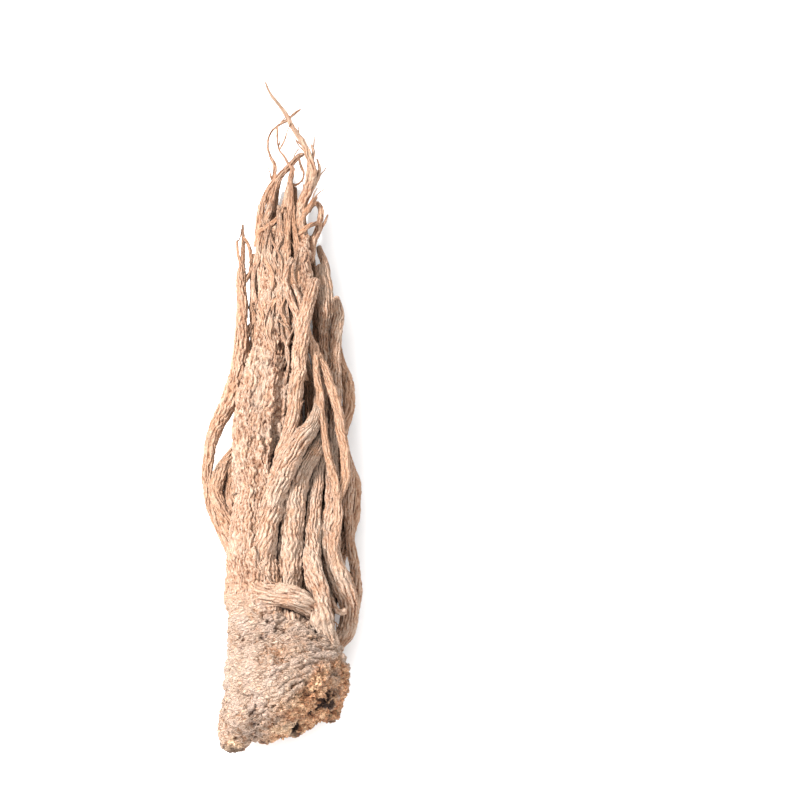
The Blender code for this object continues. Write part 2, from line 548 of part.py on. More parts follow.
def keep_largest_shell(target):
    """Fills hollows that the joining sealed, and drops scraps: only the outer skin stays."""
    shape = bmesh.new()
    shape.from_mesh(target.data)
    shape.verts.ensure_lookup_table()
    seen = set()
    shells = []
    for start in shape.verts:
        if start in seen:
            continue
        shell = {start}
        front = [start]
        while front:
            for edge in front.pop().link_edges:
                for vert in edge.verts:
                    if vert not in shell:
                        shell.add(vert)
                        front.append(vert)
        seen |= shell
        shells.append(shell)
    largest = max(shells, key=len)
    bmesh.ops.delete(shape, geom=[v for v in shape.verts if v not in largest], context="VERTS")
    shape.to_mesh(target.data)
    shape.free()


def dried_root_material():
    material = bpy.data.materials.new("dried_root")
    material.use_nodes = True
    shader = material.node_tree.nodes["Principled BSDF"]
    shader.inputs["Base Color"].default_value = (0.62, 0.42, 0.28, 1.0)
    shader.inputs["Roughness"].default_value = 0.85
    shader.inputs["Metallic"].default_value = 0.0
    return material


def main():
    for thing in list(bpy.data.objects):
        bpy.data.objects.remove(thing)
    draw = random.Random(SEED)
    drawn_by_hand = {**TRUNK, **CROWN_LOBES, **SIDE_ROOTS, **TAILS}
    by_rule = {**under_roots(draw), **fine_roots(draw)}
    side_roots = [tube(name, smooth_route(route)) for name, route in drawn_by_hand.items()]
    side_roots += [tube(name, route) for name, route in by_rule.items()]
    root = head()
    boolean(root, "UNION", side_roots)
    keep_largest_shell(root)
    thinned(root, TRIANGLES)
    boolean(root, "DIFFERENCE", [surface_block()])
    keep_largest_shell(root)
    root.data.transform(Matrix.Translation(MIDDLE))
    root.name = "root"
    root.data.name = "root"
    root.data.materials.clear()
    root.data.materials.append(dried_root_material())
    root.data.shade_smooth()
    root.data.set_sharp_from_angle(angle=math.radians(50))


main()
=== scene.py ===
"""The looks of a dried dong quai root: folded crown, ridged trunk, wrinkled side roots and thin tails.

Every side root follows the same route as its solid. Lengths in the tables are millimetres.
"""

import itertools
import math
import random

import bpy
import numpy as np
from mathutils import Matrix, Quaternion, Vector


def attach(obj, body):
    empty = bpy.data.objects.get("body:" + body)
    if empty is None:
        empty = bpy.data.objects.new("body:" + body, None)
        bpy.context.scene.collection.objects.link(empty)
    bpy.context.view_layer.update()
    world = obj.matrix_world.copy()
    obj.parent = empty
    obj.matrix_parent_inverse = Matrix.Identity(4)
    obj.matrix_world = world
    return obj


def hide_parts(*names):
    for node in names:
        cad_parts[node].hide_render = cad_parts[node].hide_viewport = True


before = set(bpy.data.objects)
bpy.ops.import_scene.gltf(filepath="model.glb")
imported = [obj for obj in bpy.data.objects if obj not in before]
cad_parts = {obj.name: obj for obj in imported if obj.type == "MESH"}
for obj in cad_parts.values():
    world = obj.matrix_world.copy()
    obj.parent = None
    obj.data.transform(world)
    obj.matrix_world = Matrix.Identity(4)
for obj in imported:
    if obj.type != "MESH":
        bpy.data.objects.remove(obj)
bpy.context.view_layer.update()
bpy.ops.object.select_all(action="DESELECT")

MM = 0.001

# The head's size and folds
HEAD_WIDTH = 42.0
HEAD_HEIGHT = 37.4
HEAD_RIM_Y = -107.5
CROWN_SLANT = 0.27
CROWN_DOME = 0.009
REST_CUT = 0.6

# The head's cross-sections, from the crown's rim to the neck: distance from the rim, then the centre's
# x, the half width and the half height, as shares of half the head's width and height, the share of the
# crown's slant that the section still has, and how far its middle has sunk.
HEAD_SECTIONS = [
    (-3.6, 0.06, 0.84, 0.84, 1, 0),
    (-1.6, 0.06, 0.935, 0.93, 1, 0),
    (1, 0.055, 0.975, 0.98, 1, 0),
    (5.5, 0.045, 0.955, 1.00, 0.95, 0),
    (11, 0.035, 0.925, 0.985, 0.75, 0),
    (16.5, 0.02, 0.87, 0.92, 0.5, 0.6),
    (21.5, 0.01, 0.82, 0.80, 0.25, 1.8),
    (26.5, -0.01, 0.79, 0.64, 0.1, 3),
    (32, -0.05, 0.73, 0.53, 0, 3.8),
    (37.5, -0.12, 0.635, 0.44, 0, 4.2),
    (42.5, -0.19, 0.465, 0.32, 0, 4.6),
    (46, -0.24, 0.24, 0.18, 0, 4.8),
]
# Rings where leaf stalks stood, on the crown's end: each one's share of the rim, and how far it stands out
CROWN_RINGS = [
    (0.85, -0.5), (0.74, -2.1), (0.62, -0.9), (0.49, -2.4), (0.36, -1.3), (0.22, -2.9), (0.1, -2.2),
]

# Every route runs from the base to the tip: x across, y towards the tails, z up, and the root's radius.
TRUNK = {
    "trunk": [
        (-4.5, -92, 17.5, 13.2), (-5.9, -80, 17.6, 11.5), (-7.3, -68, 18.5, 10.1), (-9.3, -56, 19.3, 8.7),
        (-9.2, -45, 19.5, 7.7), (-7.7, -35, 19.3, 7.2), (-8.2, -21, 19, 6.1), (-8, -11, 18.5, 5.6),
        (-5, 0, 18, 5.8), (-3.7, 11, 17.5, 6.1), (-2.7, 22, 17, 5.8), (-2.7, 33, 16, 5.6),
        (-2.7, 44, 14.5, 5.3), (-3, 55, 12.5, 4), (-2.7, 64, 11, 2.2),
    ],
    "trunk_rough": [
        (-3.4, -19, 16.5, 2.4), (-1.4, -8, 18.2, 3.2), (-0.3, 3, 18.8, 3.2), (0.7, 14, 18.8, 3),
        (1.3, 25, 18.5, 3), (1, 35, 17.5, 2.8), (0.3, 46, 15.8, 2.4), (-0.2, 56, 14, 1.8),
    ],
    "trunk_left": [
        (-12.3, -34, 19.5, 4), (-12.3, -18, 20, 4), (-12, -8, 20, 4), (-10.7, 1, 20, 3.6),
        (-8.7, 10, 20, 3), (-7.3, 17, 20, 2.4), (-6.3, 23, 19, 1.6),
    ],
    "trunk_right": [
        (0, -24, 18, 2.6), (2, -7, 18, 2.5), (3.3, 4, 18, 2.4), (4.7, 14.5, 18, 2.5),
        (5.3, 23.5, 18, 2.7), (6, 31, 17.5, 2.9), (6.7, 37.5, 17, 3.1), (6.7, 43.5, 16.5, 3.1),
        (6.5, 49, 15.5, 2.9), (6.7, 55, 14, 2.3), (7.2, 60, 12.5, 1.4),
    ],
}
CROWN_LOBES = {
    "left_foot": [
        (-8, -92, 17, 7), (-12.3, -104, 15.5, 7), (-14.8, -111.5, 14.5, 6.4), (-16, -116.2, 14, 4.9),
        (-16.6, -119.2, 14, 2.2),
    ],
    "neck_bulge": [
        (-9.5, -54, 17, 3.4), (-12.5, -61, 16, 4.9), (-13.7, -68, 15.5, 5.3), (-10.5, -76, 16, 5),
    ],
    "stem_scar": [
        (3, -104, 15, 4.6), (3.3, -110, 15, 4.2), (3.5, -112.9, 15, 3.2), (3.6, -114.6, 15, 1.3),
    ],
    "bud_scar": [
        (12, -98, 25, 5), (13.8, -104.5, 25.6, 4.3), (14.6, -107.4, 25.8, 3), (14.9, -108.8, 25.9, 1.3),
    ],
    "low_scar": [
        (-5, -102, 9, 5), (-6, -109.5, 8.4, 4.4), (-6.5, -113, 8.1, 3.2), (-6.7, -114.9, 8, 1.3),
    ],
    "right_scar": [
        (13, -98, 11, 5), (14.4, -105, 10.6, 4.2), (15.2, -107.6, 10.4, 2.8), (15.6, -108.8, 10.3, 1.1),
    ],
}
SIDE_ROOTS = {
    "broad_front": [
        (-6, -82, 23, 3.6), (-7.5, -70, 23.5, 4.2), (-6.7, -58, 24.3, 4.4), (-4.7, -46.5, 25, 4),
        (-2.7, -38, 25.5, 3.6), (-0.3, -30, 25.5, 3.5), (3, -22.6, 25.5, 3.4), (6.7, -16.9, 25, 3),
        (9.7, -12.5, 23.5, 2.5), (11.7, -6.5, 21.5, 1.9), (11.7, -0.5, 20, 1.3),
    ],
    "broad_middle": [
        (2.5, -92, 22, 4), (1.8, -80, 22.5, 4.2), (1.3, -69, 21, 4.3), (2, -57.5, 21, 4.4),
        (2.3, -47, 21.5, 4.3), (3, -39, 21.5, 4.1), (4.7, -32.5, 21, 3.5), (7, -26.9, 20.5, 2.9),
        (9.7, -21.8, 20.5, 2.4), (12, -17.5, 20.5, 2), (13.3, -13, 20.5, 1.6), (13.7, -7.5, 20, 1.2),
    ],
    "cross_band": [
        (-10.5, -57, 19.5, 2.6), (-10.3, -62.5, 22.5, 3), (-8.6, -67.4, 24.8, 3.4),
        (-5, -70.2, 26.4, 3.8), (0, -71.2, 26.9, 3.9), (5, -72.2, 26.7, 3.9), (9, -73.8, 24.6, 3.5),
        (12.3, -77, 20.6, 3.2),
    ],
    "front_right": [
        (16, -97, 15, 4), (15.3, -88.5, 20, 3.6), (13, -80, 24, 3.6), (12, -71, 25, 3.3),
        (10.3, -62, 23.5, 3.1), (9.4, -52, 20.2, 2.9), (9.7, -44.8, 20, 2.6), (10.3, -37.5, 19.5, 2.2),
        (11.3, -30, 18.5, 1.8), (12.3, -22.6, 17.5, 1.5), (13, -16, 17, 1.1),
    ],
    "front_right_twin": [
        (6.5, -52, 17, 2), (7.7, -38.5, 17.5, 1.5), (8.7, -32, 18, 1.4), (10.3, -26, 18, 1.2),
        (12, -20, 18, 0.9),
    ],
    "right_shoulder": [
        (12, -86, 13, 3.6), (16.6, -83, 12.6, 2.6), (19.9, -79, 12.6, 2.8), (21.3, -71, 14, 3.1),
        (19.4, -65, 16.5, 3.4), (16.7, -58.3, 18, 3.3), (15, -51.3, 18, 2.9), (15.3, -42.4, 18, 2.8),
        (16.3, -35.3, 18, 2.6), (16.3, -28, 17.5, 2.1), (15.3, -21.4, 17, 1.6), (14.7, -15, 16.5, 1.1),
    ],
    "right_outer": [
        (12.5, -87, 8.5, 3.2), (17.3, -81.5, 9, 2.2), (22, -73, 9.5, 2), (23.7, -63, 10.5, 1.7),
        (23, -54, 11.5, 1.7), (21.7, -47, 11.5, 1.5), (21.2, -40, 11.5, 1.5), (21.4, -33, 12, 1.6),
        (21.8, -26, 12, 1.5), (21.2, -19.6, 12, 1.3), (19.8, -13, 12, 1),
    ],
    "right_bulge": [
        (17, -56, 7.5, 2.4), (19.4, -49, 8, 2.2), (22.2, -41, 8, 2.1), (23.2, -33, 8, 2.1),
        (22.9, -26, 8, 2), (21.4, -20, 8.5, 1.9), (19.8, -14.5, 9, 1.6), (18.4, -8, 9.5, 1.2),
    ],
    "upper_bulge": [
        (17.4, -20, 8.5, 1.7), (18.8, -13, 9, 1.7), (20.6, -5.4, 9, 1.8), (21.6, 0.7, 9, 2),
        (21.4, 6.4, 9, 2.1), (20.2, 10.6, 9, 2), (18.8, 15, 9.5, 1.8), (17.8, 20.5, 10, 1.4),
        (17, 27, 10, 1),
    ],
    "thin_cross": [
        (18.1, -37, 20, 1.4), (16.7, -29.1, 22.3, 1.3), (15.3, -22.9, 22.8, 1.2), (14, -15.8, 22.8, 1.2),
        (12.8, -8.6, 22.6, 1.2), (12.3, -1.2, 22.2, 1.2), (11.3, 6.1, 22, 1.2), (11, 12, 21.5, 1.2),
        (9.7, 18, 20.5, 1.3),
    ],
    "long_right": [
        (17.7, -37.5, 19.5, 1.4), (19.1, -33, 19.7, 1.5), (20.5, -29, 19.5, 1.6), (20.8, -24, 19.5, 1.6),
        (20.1, -18, 19.5, 1.6), (19.1, -11.2, 20, 1.6), (18.2, -4.6, 20.2, 1.5), (16.3, 2.2, 20.4, 1.5),
        (14.3, 8.3, 20.5, 1.4), (12, 13, 20.5, 1.4), (9.5, 18.5, 21, 1.4), (7.5, 24, 22, 1.3),
    ],
    "right_join": [
        (16.5, -81, 10.5, 2.4), (20.8, -76.5, 11.3, 2), (22.4, -70.5, 12.6, 1.9),
        (21.9, -65.5, 14.6, 1.8), (20, -61.8, 17.2, 1.7), (17.8, -58.8, 19.8, 1.6),
        (16.7, -54, 20.6, 1.6), (17.3, -48.5, 20.5, 1.5), (18.1, -41.5, 20.5, 1.5),
        (17.7, -35, 20.7, 1.5),
    ],
    "forked": [
        (-1.5, -28, 22.5, 2.4), (0.7, -19.8, 24, 2.3), (2.7, -13.6, 24.5, 2.2), (4, -6.1, 24.5, 2.2),
        (5, 2.7, 24.5, 2.3), (5.7, 9.5, 24.5, 2.3), (6.3, 16.2, 24.5, 2.3), (7.2, 22.5, 24.5, 2.2),
        (8.3, 28.2, 24.5, 2.2), (10, 33.7, 24, 2), (11.3, 39.8, 23.5, 1.7),
    ],
    "fork_left": [
        (6.6, 20, 24, 1.5), (5, 27.2, 23.5, 1.3), (3.3, 31.8, 23, 1.2), (1.7, 36.2, 22.4, 1.2),
        (1.3, 39.8, 21.8, 1.1), (2, 44.5, 21, 1.1), (3.5, 48.5, 20, 0.9),
    ],
    "fork_twig": [(7.4, 25, 24, 1), (5.8, 32.5, 22.5, 0.9), (3.6, 38.5, 21.3, 0.7)],
    "right_upper": [
        (13, -78, 13, 2.6), (16.5, -62, 13.5, 2.2), (16.5, -46, 14, 1.8), (17, -33, 14, 1.6),
        (16.7, -23, 14, 1.5), (16.3, -15, 14, 1.6), (17, -8, 14, 1.7), (17.5, -1.5, 14, 1.7),
        (17.7, 5.2, 14, 1.8), (17.6, 12.3, 14, 1.8), (17.8, 19.4, 14, 1.8), (18.4, 25.8, 14, 1.7),
        (18.6, 31.5, 13.5, 1.5), (17.9, 37.5, 12.5, 1),
    ],
    "right_low": [
        (12, -76, 9, 3), (17.4, -55, 7, 2.4), (18.1, -38, 6.5, 2.2), (17.7, -20, 7, 2),
        (17, -5, 8.5, 1.9), (16.3, 10, 9.5, 1.8), (16.2, 22, 10, 1.7), (16, 31.5, 10, 1.6),
        (15.5, 38.8, 10, 1.5), (15, 44.2, 9.5, 1.4), (14.4, 49.5, 9, 1.3), (13.4, 53.8, 8.5, 1.1),
        (12.2, 57.8, 8, 0.8),
    ],
    "left_loop": [
        (-11, -61, 17, 3), (-15.2, -54.5, 15.8, 2.2), (-18.4, -48, 14, 1.8), (-21.3, -42, 12.8, 1.6),
        (-23.5, -35.5, 12, 1.5), (-24.7, -28.5, 12, 1.6), (-24.8, -21.5, 12, 1.8), (-23.9, -15, 12.3, 2),
        (-22, -9, 12.7, 2.3), (-19.6, -3.7, 13, 2.7), (-17.3, 1.5, 13, 2.9), (-15.8, 7, 13, 2.8),
        (-14.7, 13, 13, 2.5), (-14, 20, 13, 2.2), (-13.7, 27, 12.5, 2), (-13.4, 34, 12, 1.8),
        (-13.6, 41.5, 11.5, 1.7), (-13.8, 46.7, 11, 1.6), (-13.7, 50, 10.5, 0.95), (-13.3, 55.6, 10, 0.8),
        (-13.3, 60.7, 9.5, 0.6), (-13.3, 65.5, 9, 0.35),
    ],
    "loop_twig": [
        (-13, 60.3, 9.6, 0.6), (-11.3, 57, 10, 0.6), (-10.4, 52, 10, 0.65), (-10.7, 47.5, 10.5, 0.7),
        (-12.6, 43.5, 11.2, 0.8),
    ],
    "loop_spur": [(-13.7, 49.5, 10.5, 0.8), (-14.8, 54.5, 10.2, 0.5), (-15.2, 59.3, 10, 0.35)],
    "left_rough": [
        (-12, -57, 16, 3.2), (-15.3, -48.5, 14.6, 2.8), (-18, -42, 13.2, 2.5), (-20.5, -37, 12.4, 2.3),
        (-21.7, -31.5, 12, 2.3), (-21.1, -26.3, 12, 2.2), (-19.3, -21.6, 12, 2), (-16.9, -17, 11.8, 1.7),
        (-14.7, -12, 11.5, 1.1),
    ],
    "left_fill": [
        (-10, -58, 14, 4), (-14.2, -46, 12, 3.3), (-16.2, -38, 11, 3), (-16.6, -31, 10.8, 2.9),
        (-15.6, -23, 11, 2.5), (-13.5, -14, 11.5, 1.6),
    ],
    "left_slip": [
        (-12, -8, 14, 1.7), (-11.2, 4, 14.5, 1.4), (-9.8, 11.5, 14.5, 1.2), (-8.6, 17.5, 14.5, 1),
        (-8.2, 24, 14.5, 1), (-9, 29.5, 14, 0.8), (-10.3, 34, 13.5, 0.5),
    ],
    "left_slip_twin": [
        (-11, 2, 12.6, 1.4), (-10.4, 11, 13, 1.2), (-11.3, 17.5, 12.6, 1), (-11.8, 23, 12.2, 0.9),
        (-10.9, 28.5, 11.7, 0.5),
    ],
    "right_shaded": [
        (10, -22, 12, 2.8), (12.4, -8, 12.4, 2.6), (13.6, 6, 12.4, 2.5), (14.2, 18, 12, 2.3),
        (14.3, 30, 11.4, 2), (13.6, 41, 10.8, 1.6), (12.2, 50, 10.2, 1.1),
    ],
    "left_shaded": [
        (-8, 6, 12, 2.2), (-9, 18, 11, 1.7), (-9.5, 30, 10.5, 1.4), (-9.9, 41, 10, 1.2),
        (-9.9, 48, 9.8, 1), (-9.6, 54.5, 9.3, 0.7),
    ],
}
# The side roots that make a piece together; the rest are on the left
FRONT_ROOTS = [
    "broad_front", "broad_middle", "cross_band", "front_right", "front_right_twin", "right_shoulder",
]
RIGHT_ROOTS = [
    "right_outer", "right_bulge", "upper_bulge", "thin_cross", "long_right", "right_join", "forked",
    "fork_left", "fork_twig", "right_upper", "right_low", "right_shaded",
]
TAILS = {
    "left_arch": [
        (-6.2, 45, 14, 1.7), (-7.6, 58.9, 12.5, 1.4), (-7.3, 66.3, 11.5, 1.3), (-6, 73.2, 10.5, 1.2),
        (-4, 78.5, 9.5, 1.1), (-1.7, 82.2, 9, 1.05), (1, 85.2, 8.5, 1), (3.3, 87.8, 8.3, 0.85),
        (5.3, 90.4, 8, 0.8), (7.4, 91.2, 8.2, 0.6),
    ],
    "left_arch_twin": [
        (-4.2, 50, 14, 1.7), (-5.3, 62.5, 12, 1.3), (-4.7, 69, 11, 1.2), (-3.3, 74.8, 10.2, 1.1),
        (-1.7, 79.3, 9.6, 0.9), (0, 82.4, 9.2, 0.7), (1.6, 84.6, 9, 0.4),
    ],
    "ringlet": [
        (-4, 69, 10, 1.2), (-3.3, 78.4, 9, 0.95), (-2.7, 82.9, 8.5, 0.8), (-2.7, 87.4, 8, 0.65),
        (-4, 90.3, 8, 0.5), (-4.8, 93.5, 8, 0.42), (-4.6, 96.6, 8, 0.4), (-3.6, 99.7, 8, 0.42),
        (-1.5, 101.8, 8.2, 0.45), (1, 103.3, 8.4, 0.45), (3, 104.9, 8.6, 0.42), (4.8, 106.5, 8.6, 0.4),
        (6.4, 107.6, 8.6, 0.34),
    ],
    "middle_tail": [
        (-1, 46, 15, 1.9), (-0.3, 58.9, 12.7, 1.5), (0, 65.7, 11.4, 1.35), (1, 72.2, 10.4, 1.2),
        (2.3, 77, 9.8, 1.1), (3, 81.2, 9.5, 1), (3.7, 84.7, 9.5, 0.85), (3.3, 86.4, 9.8, 0.65),
    ],
    "longest_tail": [
        (6.8, 46, 12.5, 2), (6.3, 58.8, 13, 1.7), (6, 65.4, 12.5, 1.55), (7, 71.3, 12, 1.5),
        (8.7, 75.6, 11.5, 1.4), (10, 79.7, 11, 1.3), (10.6, 83.4, 10.5, 1.2), (10, 86.7, 10, 1.2),
        (9, 89.7, 9.5, 1.15), (8, 92.6, 9.5, 1.1), (6.5, 95.8, 9, 1), (4.7, 98.9, 8.5, 0.9),
        (3.1, 102, 8.5, 0.85), (1.6, 105.2, 8.5, 0.8), (-0.2, 108.2, 8, 0.7), (-2.1, 111, 8, 0.6),
        (-3.6, 113.6, 7.5, 0.5), (-4.8, 116, 7.5, 0.42), (-5.7, 118.6, 7, 0.33),
    ],
    "longest_twin": [
        (4.6, 54, 13.6, 1.6), (5, 67.8, 11.5, 1.2), (6.3, 72.5, 10.5, 1.1), (8, 77.6, 10, 1),
        (9, 81.9, 9.5, 0.95), (9.3, 86.6, 9, 0.9), (8.9, 91, 8.6, 0.8), (7.8, 94.4, 8.5, 0.6),
        (6, 97.5, 8.5, 0.4),
    ],
    "right_arc": [
        (9.2, 76, 11, 0.9), (11.3, 80, 10, 0.7), (12.3, 83.5, 9, 0.6), (12.4, 86.5, 8.5, 0.45),
        (11.7, 89.3, 8.5, 0.3),
    ],
    "right_nib": [
        (9.2, 85.5, 9.8, 0.8), (10.4, 89.3, 9, 0.6), (10.6, 92, 8.6, 0.5), (9.9, 94.6, 8.5, 0.3),
    ],
    "hook": [
        (8.8, 50, 12.5, 1.6), (10.3, 57.7, 11.5, 1.3), (11.7, 61.8, 10.5, 1.1), (12.7, 66.3, 10, 1),
        (12.8, 69.9, 9.7, 0.95), (11.6, 72.2, 9.7, 0.85), (10, 71.6, 9.7, 0.7), (8.9, 69, 9.9, 0.5),
    ],
    "hook_twig": [
        (11.3, 60, 10.4, 0.9), (13, 63.5, 9.6, 0.6), (14.3, 65.6, 9.2, 0.45), (15.3, 68.6, 9, 0.3),
    ],
    "cross_tail": [
        (-8.6, 56, 11.5, 0.9), (-7.7, 60.4, 13.2, 0.9), (-5.3, 61.9, 14, 0.9), (-3, 63.7, 14, 0.9),
        (-0.7, 66.4, 13.3, 0.85), (0.8, 70.5, 12, 0.6),
    ],
    "cross_tail_right": [
        (5.2, 58.5, 14.5, 0.9), (8, 61.3, 14.4, 0.8), (10.2, 63.2, 13, 0.7), (12.2, 64.2, 11.2, 0.55),
    ],
    "right_spur": [
        (5.6, 64, 13.2, 1.1), (8.7, 69, 13, 0.9), (10.5, 72, 12.6, 0.7), (11.8, 73.8, 12.2, 0.4),
    ],
    "thread_loop": [
        (3.1, 78.8, 9.4, 0.5), (5.6, 80.3, 8.6, 0.36), (6.9, 82.4, 8.3, 0.34), (6.9, 85.3, 8.3, 0.34),
        (6, 87.6, 8.3, 0.34), (5.6, 90.3, 8.1, 0.4),
    ],
    "thread_high": [
        (3.2, 85.4, 9.2, 0.5), (1.7, 88, 8.6, 0.4), (0.6, 90.3, 8.3, 0.36), (-0.8, 92.4, 8, 0.34),
        (-1.5, 95, 8, 0.34), (-1.6, 98, 8, 0.34), (-1.5, 101.4, 8.1, 0.38),
    ],
    "thread_twig": [(-1, 93, 8, 0.36), (0.5, 95.6, 8, 0.33), (1.5, 98.4, 8, 0.3)],
}

# The roots under and behind, which fill the bundle down to the surface.
# The bundle's outline as y, left edge, right edge.
OUTLINE = [
    (-80, -15, 16), (-62, -15, 17), (-45, -17, 18.5), (-30, -18, 19), (-12, -15, 18), (5, -12.5, 17.5),
    (25, -11, 15.5), (45, -9.5, 12.5), (60, -8.5, 11), (75, -6.5, 9.5), (88, -2.5, 9), (100, -1, 6.5),
]
UNDER_ROOTS = 9
UNDER_BASE_Y = -96.0
UNDER_TIP_NEAR = 44.0
UNDER_TIP_FAR = 84.0
UNDER_BASE_RADIUS = 4.6
UNDER_TIP_RADIUS = 0.7
UNDER_POINTS = 14
UNDER_SWAY = 1.3
INNER_LIFT = 8.0
# Fine roots that run over the trunk's upper half.
FINE_ROOTS = 15
FINE_BASE_Y = 27.0
FINE_TIP_Y = 75.0
FINE_RADIUS = 1.15
FINE_SPREAD = 9.0
# Height of the trunk's back at y, which the fine roots follow
BACK = [(15, 23.2), (33, 21.8), (44, 20.2), (55, 17.6), (64, 14.8), (75, 12.0), (95, 8.5)]
SEED = 17
# From the tables' zero to the middle of the root's box, seen from above
MIDDLE = np.array([0.88, 0.67, 0.0])

# Low cords that stand out from the trunk's and the head's skin
TRUNK_RIDGES = {
    "thumb": [
        (-12.2, -27, 23.2, 0.9), (-12, -21, 24, 1), (-11, -17, 24.6, 1.1), (-9.3, -15, 25, 1.1),
        (-7.6, -17, 25.2, 1.1), (-6.8, -21.5, 25, 1), (-6.7, -27, 25.2, 0.8),
    ],
    "left_cord": [
        (-13.5, -62, 20.5, 1.2), (-13.6, -50, 21.5, 1.2), (-13.2, -38, 22.5, 1.1), (-13.6, -27, 22.6, 1),
        (-13, -15, 22.8, 1), (-11.2, -4, 23, 0.9), (-9.4, 4, 22.6, 0.8),
    ],
    "middle_cord": [
        (-8, -66, 28.2, 1.3), (-9.3, -55, 27.6, 1.3), (-10.6, -44, 26.7, 1.2), (-9.8, -33, 26, 1.1),
        (-9.2, -25, 25.4, 0.9),
    ],
    "right_cord": [
        (-3.4, -50, 24.6, 1.2), (-4, -38, 25, 1.2), (-5, -27, 24.6, 1.1), (-4.2, -14, 23.2, 1),
        (-3.2, -3, 23.6, 1), (-2, 8, 23.8, 1), (-1.6, 18, 23, 0.9),
    ],
    "flake": [(-1.6, 5, 21, 1.6), (-1.2, 13, 21.4, 2), (-0.8, 20, 20.8, 1.8), (-0.5, 28, 19.6, 1.1)],
    "band_curl": [
        (-9.4, -61.5, 25, 1.2), (-7.2, -64.5, 27.3, 1.2), (-4.6, -66.6, 28.6, 1.1),
        (-2.2, -68, 29.2, 0.8),
    ],
    "neck_cord": [(-7.5, -70, 25.6, 1.4), (-6, -76, 27, 1.5), (-5.4, -82, 27.9, 1.4), (-4.4, -88, 29.2, 1)],
    "neck_cord_right": [(-3.2, -74, 26.8, 1.2), (-2.6, -79, 27.8, 1.3), (-3.2, -85.5, 28.8, 1)],
    "shoulder_cord": [
        (-13.5, -58, 20.5, 1.6), (-11.8, -65, 23.6, 1.6), (-10.4, -72, 25, 1.5), (-9.6, -79, 26, 1.1),
    ],
    "wart_one": [(1.5, -80, 22, 2.3), (2.2, -82, 24.2, 2.1), (2.4, -83, 25.6, 1.3)],
    "wart_two": [(5.2, -82, 22, 2.2), (5.7, -84.5, 24, 1.9), (5.8, -85.5, 25, 1.2)],
    "wart_three": [(-1.8, -83, 22, 2.4), (-2, -85.5, 25, 2), (-2.2, -86.5, 26, 1.2)],
}
# A broken stub beside the right shoulder
STUB = [
    (15.4, -69.4, 18.2, 0.9), (16.2, -72.4, 20, 1), (17.5, -74.5, 20.9, 1), (19.2, -75, 20.9, 0.95),
    (20.3, -74, 20.4, 0.8),
]
# How many short roots and hair roots lie on the bundle
ROOTLETS = 34
HAIRS = 60

# How finely the skins are modelled
CORD_WIDTH = 1.2
CORD_DEPTH = 1.1
MEAN_RELIEF = 0.62
FLOOR_GAP = 0.02
TIP_RINGS = 7
HEAD_SPOKES = 90
HEAD_SPACING = 0.9
SIDE_SPACING = 0.27
RING_SPACING = 0.6
UNDER_COARSER = 2.0
SHELL_VOXEL = 0.44
SHELL_SMOOTHING = 5

# The grid of cells that tells how closely the root's parts stand together, for the painted shade between
# them
CROWDING_CELL = 0.8
CROWDING_CORNER = np.array([-36.0, -130.0, -9.0])
CROWDING_SPAN = np.array([72.0, 260.0, 56.0])

# The photograph's view: the root lies in the left part of the frame, seen from above and the crown's side
VIEW_ELEVATION = math.radians(70)
VIEW_MIDDLE = Vector((39.58, 5.67, 0.0))
VIEW_DISTANCE = 1.3335
VIEW_LENS = 180.0
VIEW_ROLL = math.radians(0.82)

# Random slopes that the noise blends
GRADIENTS = np.random.default_rng(5).normal(size=(256, 3))
GRADIENTS /= np.linalg.norm(GRADIENTS, axis=1)[:, None]
SHUFFLE = np.random.default_rng(6).permutation(256)


def mixed(a, b, share):
    return a + (b - a) * share


def at(table, y):
    """The values that a table, whose first column is y, gives at y."""
    for (y0, *values0), (y1, *values1) in zip(table, table[1:]):
        if y <= y1:
            share = max(0.0, (y - y0) / (y1 - y0))
            return [mixed(a, b, share) for a, b in zip(values0, values1)]
    return table[-1][1:]


def rising(value, low, high):
    """0 below low, 1 above high, and smooth between; high may be the lower of the two."""
    share = np.clip((value - low) / (high - low), 0, 1)
    return share * share * (3 - 2 * share)


def noise(points, size=1.0, seed=0.0):
    """Smooth noise from about -1 to 1. Size is the width of its lumps, one number or one for each axis."""
    scaled = points / np.asarray(size) + seed * 7.31
    cell = np.floor(scaled).astype(int)
    inside = scaled - cell
    ease = inside**3 * (inside * (inside * 6 - 15) + 10)
    total = np.zeros(len(scaled))
    for corner in itertools.product((0, 1), repeat=3):
        x, y, z = ((cell + corner) & 255).T
        gradient = GRADIENTS[SHUFFLE[(SHUFFLE[(SHUFFLE[x] + y) & 255] + z) & 255]]
        weight = np.prod(np.where(corner, ease, 1 - ease), axis=1)
        total += weight * ((inside - corner) * gradient).sum(1)
    return total * 1.7


def wrinkles(points, size, seed=0.0):
    """Rounded ridges with sharp creases between them: 0 in a crease, about 1 on a ridge."""
    rise = np.minimum(1.0, 2.2 * np.abs(noise(points, size, seed)))
    return rise * (2 - rise)


